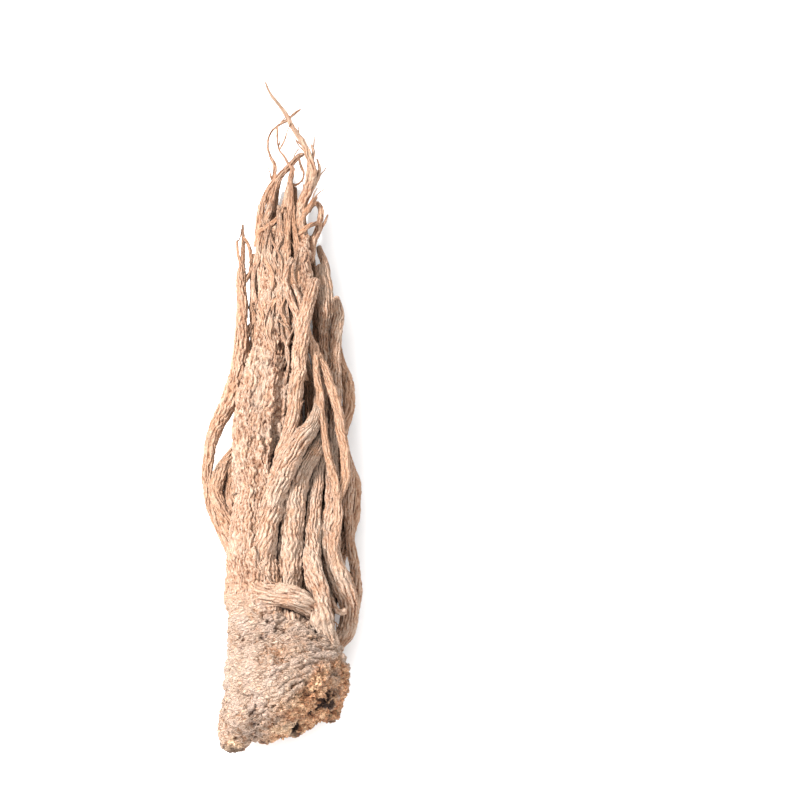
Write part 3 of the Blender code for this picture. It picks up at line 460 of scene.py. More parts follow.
def under_roots(draw):
    """Routes of the roots that the bundle lies on, side by side, in two layers."""
    routes = {}
    for index in range(UNDER_ROOTS):
        across = (index + 0.5) / UNDER_ROOTS
        inner = index % 2 == 1
        phase = draw.uniform(0, math.tau)
        base_y = UNDER_BASE_Y + draw.uniform(0, 8)
        tip_y = draw.uniform(UNDER_TIP_NEAR, UNDER_TIP_FAR)
        tip_across = min(0.95, max(0.05, across + draw.uniform(-0.22, 0.22)))
        thickness = draw.uniform(0.8, 1.15)
        route = []
        for step in range(UNDER_POINTS):
            share = step / (UNDER_POINTS - 1)
            y = mixed(base_y, tip_y, share)
            left, right = at(OUTLINE, y)
            radius = thickness * mixed(UNDER_BASE_RADIUS, UNDER_TIP_RADIUS, share**0.65)
            place = mixed(across, tip_across, share)
            x = mixed(left + radius, right - radius, place)
            x += UNDER_SWAY * math.sin(phase + share * 7.0) * min(1.0, 3 * (1 - share))
            z = 0.8 * radius - 0.3 + (INNER_LIFT * (1 - 0.6 * share) if inner else 0.0) + 4.0 * share**3
            route.append((x, y, z + 5.0 * (1 - share) ** 9, radius))
        routes[f"under_{index + 1}"] = route
    return routes


def fine_roots(draw):
    """Routes of the thin roots that lie close together over the trunk's upper half."""
    routes = {}
    for index in range(FINE_ROOTS):
        across = (index + 0.5) / FINE_ROOTS * 2 - 1
        start = FINE_BASE_Y + draw.uniform(-8, 12)
        end = FINE_TIP_Y - 11 * abs(across) + draw.uniform(-8, 10)
        drift = draw.uniform(-2.2, 2.2)
        phase = draw.uniform(0, math.tau)
        route = []
        for step in range(8):
            share = step / 7
            y = mixed(start, end, share)
            x = FINE_SPREAD * across * mixed(1.0, 0.82, share) + drift * share
            x += 0.7 * math.sin(phase + 6.0 * share)
            sunk = 0.06 * x * x + 2.0 * (1 - share) ** 4
            route.append((x, y, at(BACK, y)[0] - sunk, FINE_RADIUS * mixed(1.3, 0.5, share)))
        routes[f"fine_{index + 1}"] = route
    return routes


def smooth_path(route, spacing):
    """Rows of x, y, z and radius, evenly spaced along a smooth curve through the route's points."""
    route = np.array(route, float)
    padded = np.vstack([route[:1], route, route[-1:]])
    t = np.linspace(0, 1, 16, endpoint=False)[:, None]
    rows = []
    for before, here, there, after in zip(padded, padded[1:], padded[2:], padded[3:]):
        rows.append(
            0.5 * (
                2 * here
                + (there - before) * t
                + (2 * before - 5 * here + 4 * there - after) * t**2
                + (3 * here - before - 3 * there + after) * t**3
            )
        )
    rows = np.vstack([*rows, route[-1:]])
    along = np.concatenate([[0], np.cumsum(np.linalg.norm(np.diff(rows[:, :3], axis=0), axis=1))])
    cap = 1.1 * rows[-1, 3]
    even = np.linspace(0, along[-1] - cap, max(4, round((along[-1] - cap) / spacing)))
    bend = np.linspace(0, math.pi / 2, TIP_RINGS)[1:]
    rounding = along[-1] - cap + cap * np.sin(bend)
    stops = np.concatenate([even, rounding])
    path = np.column_stack([np.interp(stops, along, column) for column in rows.T])
    path[:, 3] *= np.concatenate([np.ones(len(even)), np.cos(bend) + 0.1])
    return path, stops


def frames_along(path):
    """A normal and a binormal at each point of the path, turning as little as they can."""
    tangents = np.gradient(path[:, :3], axis=0)
    tangents /= np.linalg.norm(tangents, axis=1)[:, None]
    normal = np.cross(tangents[0], (1.0, 0.0, 0.0))
    normals = []
    for tangent in tangents:
        normal = normal - tangent * normal.dot(tangent)
        normal /= np.linalg.norm(normal)
        normals.append(normal)
    normals = np.array(normals)
    return normals, np.cross(tangents, normals)


def side_root(route, seed, coarser=1.0, tone=0.5, plain=False):
    """A tube along its route, wrinkled unless it is plain, and paler the higher its tone is."""
    path, along = smooth_path(route, RING_SPACING * coarser)
    radius = path[:, 3]
    mean = max(0.5, float(np.mean(radius)))
    sides = int(np.clip(round(math.tau * radius.max() / (SIDE_SPACING * coarser)), 7, 110))
    normals, binormals = frames_along(path)
    if not plain:
        sway = np.column_stack([along, np.zeros_like(along), np.zeros_like(along)])
        reach = min(0.45, 0.22 * mean + 0.08) * rising(along, 0, 6)
        path[:, :3] += normals * (reach * noise(sway, 8.0, seed + 0.3))[:, None]
        path[:, :3] += binormals * (reach * noise(sway, 8.0, seed + 0.6))[:, None]
    turn = np.tile(np.linspace(0, math.tau, sides, endpoint=False), len(path))
    ring = np.repeat(np.arange(len(path)), sides)
    twisted = turn + 0.9 * np.sin(along[ring] / 23 + seed)
    straight = np.column_stack([mean * np.cos(twisted), mean * np.sin(twisted), along[ring]])
    out = normals[ring] * np.cos(turn)[:, None] + binormals[ring] * np.sin(turn)[:, None]
    relief, strand, height = bark_of_side_root(straight, radius[ring], seed)
    if plain:
        height = 0.0
    points = path[ring, :3] + out * (radius[ring] + height)[:, None]
    points[:, 2] = np.maximum(points[:, 2], FLOOR_GAP)
    marks = {
        "relief": relief,
        "strand": strand,
        "crown": np.zeros(len(points)),
        "torn": np.zeros(len(points)),
        "tone": np.full(len(points), tone),
        "grain": straight * (1.0, 1.0, 0.22) + seed,
    }
    return rolled(points, len(path), marks)


def bark_of_side_root(straight, radius, seed):
    """Cords and wrinkles along a side root: how high each point is among them, where it is on its cord,
    as a turn from crease to crease, and its height in millimetres."""
    count = 2 * max(2, round(math.pi * np.max(np.hypot(*straight[:, :2].T)) / CORD_WIDTH))
    wave = 2.4 * noise(straight, (5.0, 5.0, 9.0), seed) + 1.7 * noise(straight, (2.4, 2.4, 2.8), seed + 1)
    wave += 0.8 * noise(straight, (1.2, 1.2, 1.5), seed + 2)
    turn = 0.5 * count * np.arctan2(straight[:, 1], straight[:, 0]) + wave
    fading = 0.45 + 0.55 * rising(noise(straight, (1.4, 1.4, 4.0), seed + 4), -0.35, 0.25)
    cords = 1 - fading * (1 - np.abs(np.sin(turn)))
    strong = rising(noise(straight, (3.0, 3.0, 9.0), seed + 3), -0.7, 0.1)
    coarse = wrinkles(straight, (1.5, 1.5, 4.6), seed + 5)
    across = wrinkles(straight, (3.0, 3.0, 1.2), seed + 9)
    across *= rising(noise(straight, 5.0, seed + 11), 0.0, 0.6)
    rough = noise(straight, 0.7, seed + 13)
    relief = mixed(coarse, cords, 0.4 + 0.35 * strong)
    relief = np.clip(0.86 * relief + 0.16 * across + 0.16 * rough, 0, 1)
    lumps = noise(straight, (4, 4, 9), seed + 17) * 0.16 + noise(straight, (2.5, 2.5, 3), seed + 19) * 0.09
    depth = CORD_DEPTH * np.minimum(1.0, radius / 3.0) ** 0.7
    return relief, on_circle(turn), depth * (relief - MEAN_RELIEF) + radius * lumps


def on_circle(turn):
    """The turn as a point on a circle, which a material can blend between neighbours."""
    return np.column_stack([np.cos(turn), np.sin(turn), np.zeros_like(turn)])


def rolled(points, rings, marks):
    """A flat grid rolled up, so that its rows lie along the rings of points, given in millimetres."""
    sides = len(points) // rings
    bpy.ops.mesh.primitive_grid_add(x_subdivisions=sides, y_subdivisions=rings - 1)
    skin = bpy.context.object
    place(skin, with_seam(points, rings))
    mark(skin, {key: with_seam(values, rings) for key, values in marks.items()})
    return skin


def with_seam(values, rings):
    """The rings' values, with each ring's first one again at its end."""
    rows = values.reshape(rings, -1, *values.shape[1:])
    return np.concatenate([rows, rows[:, :1]], axis=1).reshape(-1, *values.shape[1:])


def joined(name, skins):
    """One object of several rolled skins, with their seams merged and their ends closed."""
    bpy.ops.object.select_all(action="DESELECT")
    for skin in skins:
        skin.select_set(True)
    bpy.context.view_layer.objects.active = skins[0]
    bpy.ops.object.join()
    piece = bpy.context.object
    piece.name = name
    bpy.ops.object.mode_set(mode="EDIT")
    bpy.ops.mesh.select_all(action="SELECT")
    bpy.ops.mesh.remove_doubles(threshold=1e-7)
    bpy.ops.mesh.fill_holes(sides=0)
    bpy.ops.mesh.select_all(action="SELECT")
    bpy.ops.mesh.normals_make_consistent(inside=False)
    bpy.ops.object.mode_set(mode="OBJECT")
    bpy.ops.object.shade_smooth()
    return piece


def mark(piece, marks):
    """Stores values at the piece's points, for its material to read."""
    for key, values in marks.items():
        vector = values.ndim == 2
        if key in piece.data.attributes:
            piece.data.attributes.remove(piece.data.attributes[key])
        layer = piece.data.attributes.new(key, "FLOAT_VECTOR" if vector else "FLOAT", "POINT")
        flat = np.ascontiguousarray(values, np.float32).ravel()
        layer.data.foreach_set("vector" if vector else "value", flat)


def place(piece, points):
    """Moves the piece's points to these places, given in millimetres."""
    flat = np.ascontiguousarray((points + MIDDLE) * MM, np.float32).ravel()
    piece.data.vertices.foreach_set("co", flat)
    piece.data.update()


def places(piece):
    """The piece's points in millimetres."""
    found = np.empty(len(piece.data.vertices) * 3, np.float32)
    piece.data.vertices.foreach_get("co", found)
    return found.reshape(-1, 3).astype(float) / MM - MIDDLE


def outward(piece):
    """The way that the skin faces at each of the piece's points."""
    found = np.empty(len(piece.data.vertices) * 3, np.float32)
    piece.data.vertex_normals.foreach_get("vector", found)
    return found.reshape(-1, 3).astype(float)


def head_seats(rows, turn, share=1.0):
    """Points of the head's skin on rows of its sections, or at a share of the way to it."""
    along, centre, half_width, half_height, slant, sunk = rows.T
    across, up = share * np.cos(turn), share * np.sin(turn)
    seat = np.column_stack([
        (centre + half_width * across) * HEAD_WIDTH / 2,
        HEAD_RIM_Y + along,
        HEAD_HEIGHT / 2 - REST_CUT / 2 - sunk + half_height * HEAD_HEIGHT / 2 * up,
    ])
    size = np.minimum(1.0, 1.4 * half_width)
    lump = 0.8 * noise(seat, 8.0) + 0.45 * np.cos(math.tau * along / 5.4) * rising(along, 0, 4)
    seat[:, 0] += lump * size * across
    seat[:, 2] += lump * size * up
    seat[:, 1] += slant * (CROWN_SLANT * seat[:, 0] + CROWN_DOME * seat[:, 0] ** 2)
    return seat


def head_rows(step):
    """The head's sections at every step along it."""
    sections = np.array(HEAD_SECTIONS)
    stops = np.arange(sections[0, 0], sections[-1, 0] + 0.01, step)
    others = (np.interp(stops, sections[:, 0], column) for column in sections.T[1:])
    return np.column_stack([stops, *others])


def head_shell():
    """The head's closed shell, with the crown's rings at its end."""
    rows = head_rows(HEAD_SPACING)
    first = rows[0]
    rings = [
        (first[0] + push, first[1], first[2] * share, first[3] * share, first[4], first[5])
        for share, push in reversed(CROWN_RINGS)
    ]
    rows = np.vstack([rings, rows])
    turn = np.tile(np.linspace(0, math.tau, HEAD_SPOKES, endpoint=False), len(rows))
    return rolled(head_seats(np.repeat(rows, HEAD_SPOKES, axis=0), turn), len(rows), {})


def crown_and_trunk():
    """The crown, neck and trunk as one skin, with folds round the crown and ridges along the trunk."""
    routes = (*TRUNK.values(), *CROWN_LOBES.values(), *TRUNK_RIDGES.values())
    roots = [side_root(route, 1, plain=True) for route in routes]
    shell = joined("crown_and_trunk", [head_shell(), *roots])
    shell.data.remesh_voxel_size = SHELL_VOXEL * MM
    bpy.ops.object.voxel_remesh()
    soften = shell.modifiers.new("soften", "SMOOTH")
    soften.iterations = SHELL_SMOOTHING
    bpy.ops.object.modifier_apply(modifier=soften.name)
    skin, out = places(shell), outward(shell)
    height, marks = bark_of_crown(skin)
    skin += out * height[:, None]
    skin[:, 2] = np.maximum(skin[:, 2], FLOOR_GAP)
    place(shell, skin)
    bpy.ops.object.shade_smooth()
    mark(shell, marks)
    return shell


def bark_of_crown(skin):
    """The height of the crown's folds, cracks and torn end and of the trunk's ridges, and their marks."""
    x, y, z = skin.T
    crown = rising(y + 0.25 * x + 3 * noise(skin, 9.0, 3), -66.0, -82.0)
    rim = HEAD_RIM_Y + CROWN_SLANT * x + CROWN_DOME * x**2
    reach = 6.5 * rising(x, 3, 13) * rising(z, 16, 26)
    past_rim = rising(y - rim - reach + 2.5 * noise(skin, 5.0, 4), 2.0, -2.5)
    torn = past_rim * rising(x - 0.35 * z + 4 * noise(skin, 7.0, 25), -17.0, -5.0)

    bent = skin + np.column_stack([noise(skin, 7.0, seed) for seed in (5, 6, 7)]) * (1.1, 0, 1.1)
    axis = np.array(TRUNK["trunk"], float)
    across = x - np.interp(y, axis[:, 1], axis[:, 0])
    up = z - np.interp(y, axis[:, 1], axis[:, 2])
    round_trunk = np.interp(y, axis[:, 1], axis[:, 3]) * np.arctan2(across, up)
    wave = 3.0 * noise(skin, (5.0, 9.0, 5.0), 26) + 2.0 * noise(skin, (2.4, 3.0, 2.4), 27)
    wave += 0.9 * noise(skin, (1.2, 1.6, 1.2), 33)
    turn = math.pi * round_trunk / 1.35 + wave
    bumps = wrinkles(bent, (1.3, 2.8, 1.3), 9)
    corded = 0.25 + 0.4 * rising(noise(skin, (4, 9, 4), 28) - y / 60, -0.5, 0.5)
    ridges = 0.8 * mixed(bumps, np.abs(np.sin(turn)), corded)
    ridges += 0.3 * wrinkles(skin, (1.6, 1.2, 1.6), 10) * rising(noise(skin, 6.0, 11), -0.3, 0.4)
    ridges += 0.2 * noise(skin, 0.9, 29)

    tilted = skin.copy()
    tilted[:, 1] += -0.5 * x + 2.0 * noise(skin, 9.0, 12)
    folds = 0.45 * wrinkles(tilted, (9, 2.2, 9), 13)
    folds += 0.4 * wrinkles(tilted, (4.5, 1.1, 4.5), 14)
    folds += 0.2 * wrinkles(skin, (2.2, 1.4, 2.2), 16) + 0.1 * noise(skin, 1.2, 15)
    papery = rising(noise(skin, 10.0, 35) - x / 16, 0.1, 0.7)
    folds = mixed(folds, 0.6 + 0.4 * folds, 0.6 * papery)
    crack_line = np.abs(noise(tilted, (8, 5, 8), 17) + 0.25 * noise(skin, 1.6, 18))
    cracks = rising(crack_line, 0.13, 0.02) * rising(noise(skin, 9.0, 19), -0.2, 0.15)
    cracks *= np.maximum(crown, 0.8 * rising(y - 0.6 * x, -48, -62))

    chunks = 0.4 * wrinkles(skin, 2.8, 20) + 0.45 * wrinkles(skin, (1.1, 1.6, 1.6), 21)
    chunks += 0.25 * noise(skin, 0.9, 22)

    hollow = torn * np.exp(-(((x - 10.0) / 6.5) ** 2) - ((z - 17.5 - 0.6 * x) / 3.8) ** 2)
    groove = np.exp(-(((x + 9.8 + 0.3 * (y + 112)) / 2.4) ** 2) - ((y + 112) / 4.5) ** 2) * (z > 12)
    ragged = (0.42 * noise(skin, 3.2, 31) + 0.25 * noise(skin, 1.3, 32)) * np.minimum(1.0, 4 * hollow)
    caves = rising(hollow + ragged, 0.3, 0.7)
    groove *= 0.75 + 0.5 * noise(skin, 2.5, 36)
    flaked = np.exp(-(((x - 0.5) / 4.0) ** 2) - ((y - 11.0) / 8.0) ** 2) * (z > 18)
    pits = flaked * rising(noise(skin, 2.2, 30), 0.0, 0.3)

    fresh = np.exp(-(((x - 0.5) / 5.0) ** 2) - ((z - 20.5) / 4.5) ** 2) * torn
    fresh = np.maximum(fresh, np.exp(-(((x + 17) / 4.0) ** 2) - ((y + 119.5) / 3.0) ** 2))
    fresh = rising(fresh + 0.5 * noise(skin, 2.0, 34), 0.2, 0.5)

    relief = mixed(mixed(ridges, folds, crown), chunks, past_rim)
    relief = np.clip(relief - 0.55 * cracks - 0.6 * pits - 0.9 * caves, 0, 1)
    knobs = 0.45 * noise(skin, 5.0, 23) + mixed(0.3, 0.18, crown) * noise(skin, 2.4, 24)
    depth = mixed(mixed(1.3, 1.7, crown), mixed(1.0, 1.7, rising(x, -12, -6)), past_rim)
    height = knobs + depth * (relief - MEAN_RELIEF)
    height -= 0.35 * cracks + 0.4 * pits + 1.6 * caves + 1.3 * groove
    torn = np.maximum(torn, 0.8 * fresh)
    marks = {"relief": relief, "strand": on_circle(turn), "crown": crown, "torn": torn, "fresh": fresh}
    # The caves and the groove also darken the colour, as painted shade in these hollows
    marks["hollow"] = np.maximum(caves, 0.6 * rising(groove, 0.25, 0.9))
    return height, {**marks, "tone": np.full(len(skin), 0.5), "grain": bent * (1.0, 0.25, 1.0)}


def filled_cells(routes):
    """Which cells of the space round the root are inside it."""
    corner = CROWDING_CORNER
    grid = np.zeros(np.ceil(CROWDING_SPAN / CROWDING_CELL).astype(int), bool)
    rows = head_rows(0.4)
    spokes = 72
    turn = np.tile(np.linspace(0, math.tau, spokes, endpoint=False), len(rows))
    for share in np.linspace(0.04, 0.98, 24):
        inside = (head_seats(np.repeat(rows, spokes, axis=0), turn, share) - corner) / CROWDING_CELL
        grid[tuple(inside.astype(int).T)] = True
    for route in routes:
        path, _ = smooth_path(route, 0.8)
        for *middle, radius in path:
            low = ((middle - corner - radius) / CROWDING_CELL).astype(int)
            high = ((middle - corner + radius) / CROWDING_CELL).astype(int) + 1
            steps = [
                (np.arange(first, last) + 0.5) * CROWDING_CELL + start - centre
                for first, last, start, centre in zip(low, high, corner, middle)
            ]
            squared = sum(side**2 for side in np.ix_(*steps))
            block = tuple(slice(first, last) for first, last in zip(low, high))
            grid[block] |= squared < radius**2
    return grid


def mark_painted_shade(pieces, routes):
    """Marks how closely the root's own parts stand round each point, for the shade that the material paints
    there.
    """
    grid = filled_cells(routes)
    near, far = blurred(grid, 1.0), blurred(grid, 3.0)
    for piece in pieces:
        cloud, way = places(piece), outward(piece)
        # Both marks darken the colour in the material: painted shade in the gaps between the root's parts
        near_shade = sampled(near, cloud + way * 1.2)
        depth = sampled(far, cloud + way * 3.0)
        mark(piece, {"near_shade": near_shade, "depth": depth})


def blurred(grid, reach):
    """The grid's values spread over their surroundings, reach millimetres wide."""
    wave = [np.fft.fftfreq(n) * math.tau * reach / CROWDING_CELL for n in grid.shape[:2]]
    wave.append(np.fft.rfftfreq(grid.shape[2]) * math.tau * reach / CROWDING_CELL)
    squared = sum(side**2 for side in np.ix_(*wave))
    return np.fft.irfftn(np.fft.rfftn(grid) * np.exp(-0.5 * squared), grid.shape)


def sampled(grid, points):
    """The grid's values at the points, blended between its cells."""
    inside = (points - CROWDING_CORNER) / CROWDING_CELL - 0.5
    inside = np.clip(inside, 0, np.array(grid.shape) - 1.001)
    cell = inside.astype(int)
    share = inside - cell
    total = np.zeros(len(points))
    for step in itertools.product((0, 1), repeat=3):
        weight = np.prod(np.where(step, share, 1 - share), axis=1)
        total += weight * grid[tuple((cell + step).T)]
    return total


def rootlets(draw):
    """Routes of short thin roots that lie along the bundle's upper half."""
    routes = {}
    for index in range(ROOTLETS):
        start = draw.uniform(2, 40)
        length = draw.uniform(14, 34)
        across = draw.uniform(-1, 1)
        drift = draw.uniform(-5, 5)
        phase = draw.uniform(0, math.tau)
        radius = draw.uniform(0.3, 0.75)
        route = []
        for step in range(9):
            share = step / 8
            y = start + length * share
            x = 8.5 * across + drift * (share - 0.5) + 1.1 * math.sin(phase + 8.0 * share)
            z = at(BACK, y)[0] - 0.06 * x * x + 1.2 + 0.5 * math.sin(2 * phase + 9.0 * share)
            z -= 2.6 * (2 * share - 1) ** 4
            route.append((x, y, z, radius * mixed(1.2, 0.5, share)))
        routes[f"rootlet_{index + 1}"] = route
    return routes


def hairs(draw):
    """Routes of short hair roots that stand out from the side roots and the tails."""
    routes = {}
    parents = [*SIDE_ROOTS.values(), *TAILS.values(), TRUNK["trunk"]]
    for index in range(HAIRS):
        parent = draw.choice(parents)
        spot = draw.randrange(1, len(parent) - 1)
        start, after = Vector(parent[spot][:3]), Vector(parent[spot + 1][:3])
        along = (after - start).normalized()
        angle = draw.uniform(-0.3, math.pi + 0.3)
        out = Vector((math.cos(angle), 0.0, math.sin(angle)))
        length = draw.uniform(2.5, 6.0)
        bend = draw.uniform(-0.6, 0.9)
        surface = start.lerp(after, draw.random()) + out * (0.85 * parent[spot][3])
        route = []
        for step in range(6):
            share = step / 5
            reach = out * (0.55 * length * share * (1 - 0.5 * share)) + along * (length * share)
            side = along.cross(out) * (bend * length * 0.5 * share**2)
            route.append((*(surface + reach + side), mixed(0.26, 0.14, share)))
        routes[f"hair_{index + 1}"] = route
    return routes


def side_root_pieces(routes):
    """The side roots, in one piece for each side of the bundle."""
    pieces = []
    seed = 1
    for name, group in routes.items():
        skins = []
        for route in group.values():
            seed += 1
            tone = (0.35 if name == "left_roots" else 1.0) * (math.sin(seed * 12.9898) * 0.5 + 0.5)
            skins.append(side_root(route, seed, UNDER_COARSER if name == "under_roots" else 1.0, tone))
        pieces.append(joined(name, skins))
    return pieces


def all_side_routes():
    """Every side root's route, in groups that each make a piece."""
    draw = random.Random(SEED)
    under = under_roots(draw)
    fine = fine_roots(draw)
    return {
        "front_roots": {name: SIDE_ROOTS[name] for name in FRONT_ROOTS},
        "right_roots": {**{name: SIDE_ROOTS[name] for name in RIGHT_ROOTS}, "stub": STUB},
        "left_roots": {
            name: route for name, route in SIDE_ROOTS.items() if name not in FRONT_ROOTS + RIGHT_ROOTS
        },
        "tails": TAILS,
        "fine_roots": {**fine, **rootlets(draw), **hairs(draw)},
        "under_roots": under,
    }


class Value:
    """A socket whose arithmetic adds Math nodes."""

    def __init__(self, nodes, socket):
        self.nodes = nodes
        self.socket = socket

    def made(self, operation, *values):
        return self.nodes.add("ShaderNodeMath", {"operation": operation}, dict(enumerate(values)))

    def __add__(self, other):
        return self.made("ADD", self, other)

    __radd__ = __add__

    def __mul__(self, other):
        return self.made("MULTIPLY", self, other)

    __rmul__ = __mul__

    def __sub__(self, other):
        return self.made("SUBTRACT", self, other)

    def __rsub__(self, other):
        return self.made("SUBTRACT", other, self)

    def __abs__(self):
        return self.made("ABSOLUTE", self)

    def clamped(self):
        return self.made("MINIMUM", self.made("MAXIMUM", self, 0.0), 1.0)


class Nodes:
    """A material's nodes, added one by one."""

    def __init__(self, name):
        self.material = bpy.data.materials.new(name)
        self.material.use_nodes = True
        self.tree = self.material.node_tree
        self.shader = self.tree.nodes["Principled BSDF"]

    def link(self, socket, value):
        if isinstance(value, Value):
            self.tree.links.new(value.socket, socket)
        else:
            socket.default_value = value

    def add(self, kind, settings=None, inputs=None, output=0):
        node = self.tree.nodes.new(kind)
        for key, value in (settings or {}).items():
            setattr(node, key, value)
        for key, value in (inputs or {}).items():
            self.link(node.inputs[key], value)
        return Value(self, node.outputs[output])

    def attribute(self, name, output="Fac"):
        return self.add("ShaderNodeAttribute", {"attribute_name": name}, output=output)

    def noise(self, vector, scale, detail=3.0, roughness=0.6, distortion=0.0):
        inputs = {"Vector": vector, "Scale": scale, "Detail": detail, "Roughness": roughness}
        return self.add("ShaderNodeTexNoise", None, {**inputs, "Distortion": distortion})

    def wrinkles(self, vector, scale, distortion=0.0):
        """0 in thin creases and 1 on the rounded ridges between them."""
        return (6.5 * abs(self.noise(vector, scale, 2.0, 0.5, distortion) - 0.5)).clamped()

    def between(self, value, low, high):
        inputs = {"Value": value, "From Min": low, "From Max": high}
        return self.add("ShaderNodeMapRange", {"interpolation_type": "SMOOTHSTEP"}, inputs, "Result")

    def mix(self, share, first, second, blend="MIX"):
        node = self.tree.nodes.new("ShaderNodeMix")
        node.data_type = "RGBA"
        node.blend_type = blend
        self.link(node.inputs["Factor"], share)
        self.link(node.inputs[6], first)
        self.link(node.inputs[7], second)
        return Value(self, node.outputs[2])


# The ridge colour is the bark's own; the halfway and crease colours are painted shade for the lower places
# among the cords and folds
RIDGE = (0.48, 0.336, 0.248, 1)
HALFWAY = (0.36, 0.2, 0.124, 1)
PAINTED_CREASE_SHADE = (0.12, 0.042, 0.019, 1)
PALE_TAN = (0.512, 0.396, 0.308, 1)
ORANGE_TAN = (0.4, 0.21, 0.116, 1)
GREY_TAN = (0.52, 0.4, 0.335, 1)
# Painted shade: the dark brown that the gaps between the root's parts, the caves and the groove are mixed
# to
PAINTED_SHADE_BROWN = (0.044, 0.021, 0.013, 1)
FAR_END = (0.86, 0.78, 0.72, 1)
TORN_LIGHT = (0.88, 0.52, 0.3, 1)
TORN_ORANGE = (0.5, 0.22, 0.105, 1)
# Painted shade for the torn end's low places and the gaps between its shreds
TORN_SHADE = (0.032, 0.016, 0.01, 1)
TORN_CREAM = (0.9, 0.6, 0.38, 1)


def bark():
    """Dry bark: pale on its ridges, with painted shade in its creases and between its parts, greyer on the
    crown, orange where it is torn.
    """
    nodes = Nodes("bark")
    relief, crown, torn, tone = map(nodes.attribute, ("relief", "crown", "torn", "tone"))
    near_shade, depth, fresh, hollow = map(nodes.attribute, ("near_shade", "depth", "fresh", "hollow"))
    grain = nodes.attribute("grain", "Vector")
    strand = nodes.attribute("strand", "Vector")
    strand = nodes.add("ShaderNodeVectorMath", {"operation": "NORMALIZE"}, {0: strand})
    cord = abs(nodes.add("ShaderNodeSeparateXYZ", None, {0: strand}, "Y"))
    place = nodes.add("ShaderNodeTexCoord", output=3)

    patches = nodes.noise(place, 90.0, 3.0)
    blotches = nodes.noise(place, 320.0, 4.0)
    crust = nodes.noise(place, 1300.0, 3.0, 0.75)
    ridges = nodes.wrinkles(grain, 0.75, 0.7)
    fine_ridges = nodes.wrinkles(grain, 1.8, 0.5)
    turned = {"Rotation": (0.0, 0.0, math.radians(-27)), "Scale": (450.0, 1000.0, 450.0)}
    round_crown = nodes.add("ShaderNodeMapping", None, {"Vector": place, **turned})
    fine_folds = nodes.wrinkles(round_crown, 1.1, 0.6)
    folds = 0.6 * nodes.wrinkles(round_crown, 0.6, 0.6) + 0.4 * fine_folds
    shreds = nodes.wrinkles(place, 520.0, 1.2)
    lengthwise = 0.3 * cord + 0.45 * ridges + 0.25 * fine_ridges
    wrinkled = lengthwise + crown * (folds - lengthwise)

    height = 0.5 * relief + 0.45 * wrinkled + 0.2 * crown + 0.8 * (crust - 0.5)
    height = (height + 0.02).clamped()
    # Painted shade: the lower a place lies among the cords and folds, the darker and browner it is; the
    # crown's low places also turn orange-tan
    colour = nodes.mix(nodes.between(height, 0.2, 0.52), PAINTED_CREASE_SHADE, HALFWAY)
    colour = nodes.mix(nodes.between(height, 0.47, 0.78), colour, RIDGE)
    colour = nodes.mix(0.5 * nodes.between(patches + 0.2 * (tone - 0.5), 0.5, 0.68), colour, PALE_TAN)
    colour = nodes.mix(0.5 * nodes.between(tone, 0.5, 0.0), colour, ORANGE_TAN)
    colour = nodes.mix(0.7 * crown * nodes.between(height, 0.75, 0.45), colour, ORANGE_TAN)
    colour = nodes.mix(0.55 * nodes.between(blotches, 0.5, 0.66), colour, ORANGE_TAN)
    # Painted shade in the crown's fine fold creases
    colour = nodes.mix(0.36 * crown * nodes.between(fine_folds, 0.4, 0.0), colour, PAINTED_CREASE_SHADE)
    greyness = crown * 0.4 + 0.1
    clouds = nodes.noise(place, 160.0, 4.0)
    colour = nodes.mix(greyness * nodes.between(clouds, 0.44, 0.62), colour, GREY_TAN)

    ragged = nodes.noise(place, 420.0, 4.0)
    inside = nodes.mix(nodes.between(ragged, 0.42, 0.6), TORN_ORANGE, TORN_LIGHT)
    # Painted shade: the torn end goes near-black in its low places and between its shreds
    inside = nodes.mix(nodes.between(height, 0.5, 0.2), inside, TORN_SHADE)
    inside = nodes.mix(0.5 * nodes.between(shreds, 0.4, 0.0), inside, TORN_SHADE)
    inside = nodes.mix(fresh * nodes.between(height, 0.25, 0.5), inside, TORN_CREAM)
    colour = nodes.mix(torn * nodes.between(patches, 0.3, 0.5), colour, inside)
    # Painted shade: darker where the root's own parts stand close round a point, and in the caves and the
    # groove
    shade = nodes.between(near_shade, 0.22, 0.75) + 0.5 * nodes.between(depth, 0.35, 0.75)
    shade = shade + 0.95 * hollow
    far_end = nodes.between(nodes.add("ShaderNodeSeparateXYZ", None, {0: place}, "Y"), 0.015, 0.07)
    colour = nodes.mix(0.8 * far_end, colour, FAR_END, "MULTIPLY")
    colour = nodes.mix((0.85 * shade).clamped(), colour, PAINTED_SHADE_BROWN)

    nodes.link(nodes.shader.inputs["Base Color"], colour)
    nodes.link(nodes.shader.inputs["Roughness"], 0.95 - 0.2 * height)
    nodes.shader.inputs["Specular IOR Level"].default_value = 0.3

    skin = (1.1 + 0.7 * crown) * wrinkled + 0.9 * crust + 0.8 * torn * shreds
    bump = nodes.add("ShaderNodeBump", None, {"Strength": 1.0, "Distance": 0.001, "Height": skin})
    nodes.link(nodes.shader.inputs["Normal"], bump)
    return nodes.material


def surface():
    """The pale surface that the root lies on."""
    bpy.ops.mesh.primitive_plane_add(size=6)
    floor = bpy.context.object
    floor.name = "surface"
    nodes = Nodes("pale_surface")
    nodes.shader.inputs["Base Color"].default_value = (0.9, 0.9, 0.9, 1)
    nodes.shader.inputs["Roughness"].default_value = 0.8
    floor.data.materials.append(nodes.material)
    floor.select_set(False)


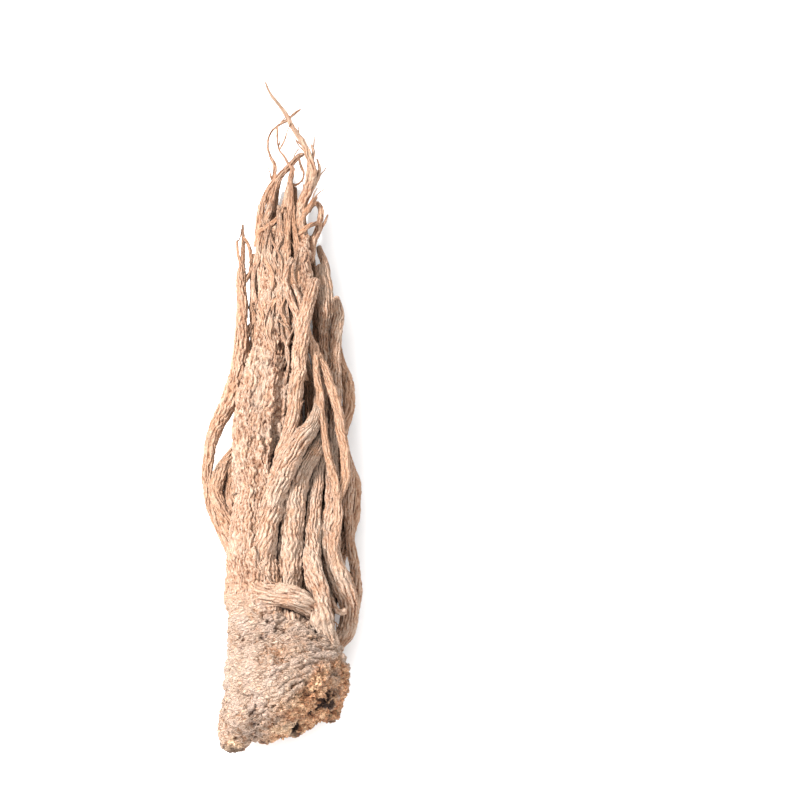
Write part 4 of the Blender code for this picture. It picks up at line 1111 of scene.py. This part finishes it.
def light(name, place, energy, size):
    lamp = bpy.data.lights.new(name, "AREA")
    lamp.energy = energy
    lamp.size = size
    lit = bpy.data.objects.new(name, lamp)
    lit.location = place
    lit.rotation_euler = (-Vector(place)).to_track_quat("-Z", "Y").to_euler()
    bpy.context.scene.collection.objects.link(lit)


def studio():
    """Soft light from the upper left, and a room that is brightest overhead."""
    light("window", (-0.74, 0.37, 0.92), 43.0, 0.13)
    light("near_window", (-0.1, -1.0, 0.45), 7.5, 0.4)
    world = bpy.data.worlds.new("room")
    world.use_nodes = True
    sky = world.node_tree
    way = sky.nodes.new("ShaderNodeTexCoord")
    split = sky.nodes.new("ShaderNodeSeparateXYZ")
    shade = sky.nodes.new("ShaderNodeMapRange")
    shade.inputs["From Min"].default_value = -0.2
    shade.inputs["To Min"].default_value = 0.52
    shade.inputs["To Max"].default_value = 1.9
    sky.links.new(way.outputs["Generated"], split.inputs[0])
    sky.links.new(split.outputs["Z"], shade.inputs["Value"])
    sky.links.new(shade.outputs["Result"], sky.nodes["Background"].inputs["Strength"])
    sky.nodes["Background"].inputs["Color"].default_value = (1, 1, 1, 1)
    bpy.context.scene.world = world
    bpy.context.scene.view_settings.view_transform = "Standard"


def camera():
    back = Vector((0, -math.cos(VIEW_ELEVATION), math.sin(VIEW_ELEVATION)))
    lens = bpy.data.cameras.new("camera")
    lens.lens = VIEW_LENS
    lens.clip_start = 0.01
    seen = bpy.data.objects.new("camera", lens)
    seen.location = VIEW_MIDDLE * MM + back * VIEW_DISTANCE
    level = (-back).to_track_quat("-Z", "Y")
    seen.rotation_euler = (level @ Quaternion((0, 0, 1), -VIEW_ROLL)).to_euler()
    bpy.context.scene.collection.objects.link(seen)
    bpy.context.scene.camera = seen


camera()
surface()
studio()
side_routes = all_side_routes()
pieces = [crown_and_trunk(), *side_root_pieces(side_routes)]
every_route = [*TRUNK.values(), *CROWN_LOBES.values()]
for group in side_routes.values():
    every_route += group.values()
mark_painted_shade(pieces, every_route)
bark_material = bark()
for piece in pieces:
    piece.data.materials.append(bark_material)
    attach(piece, "root")
    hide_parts("root")
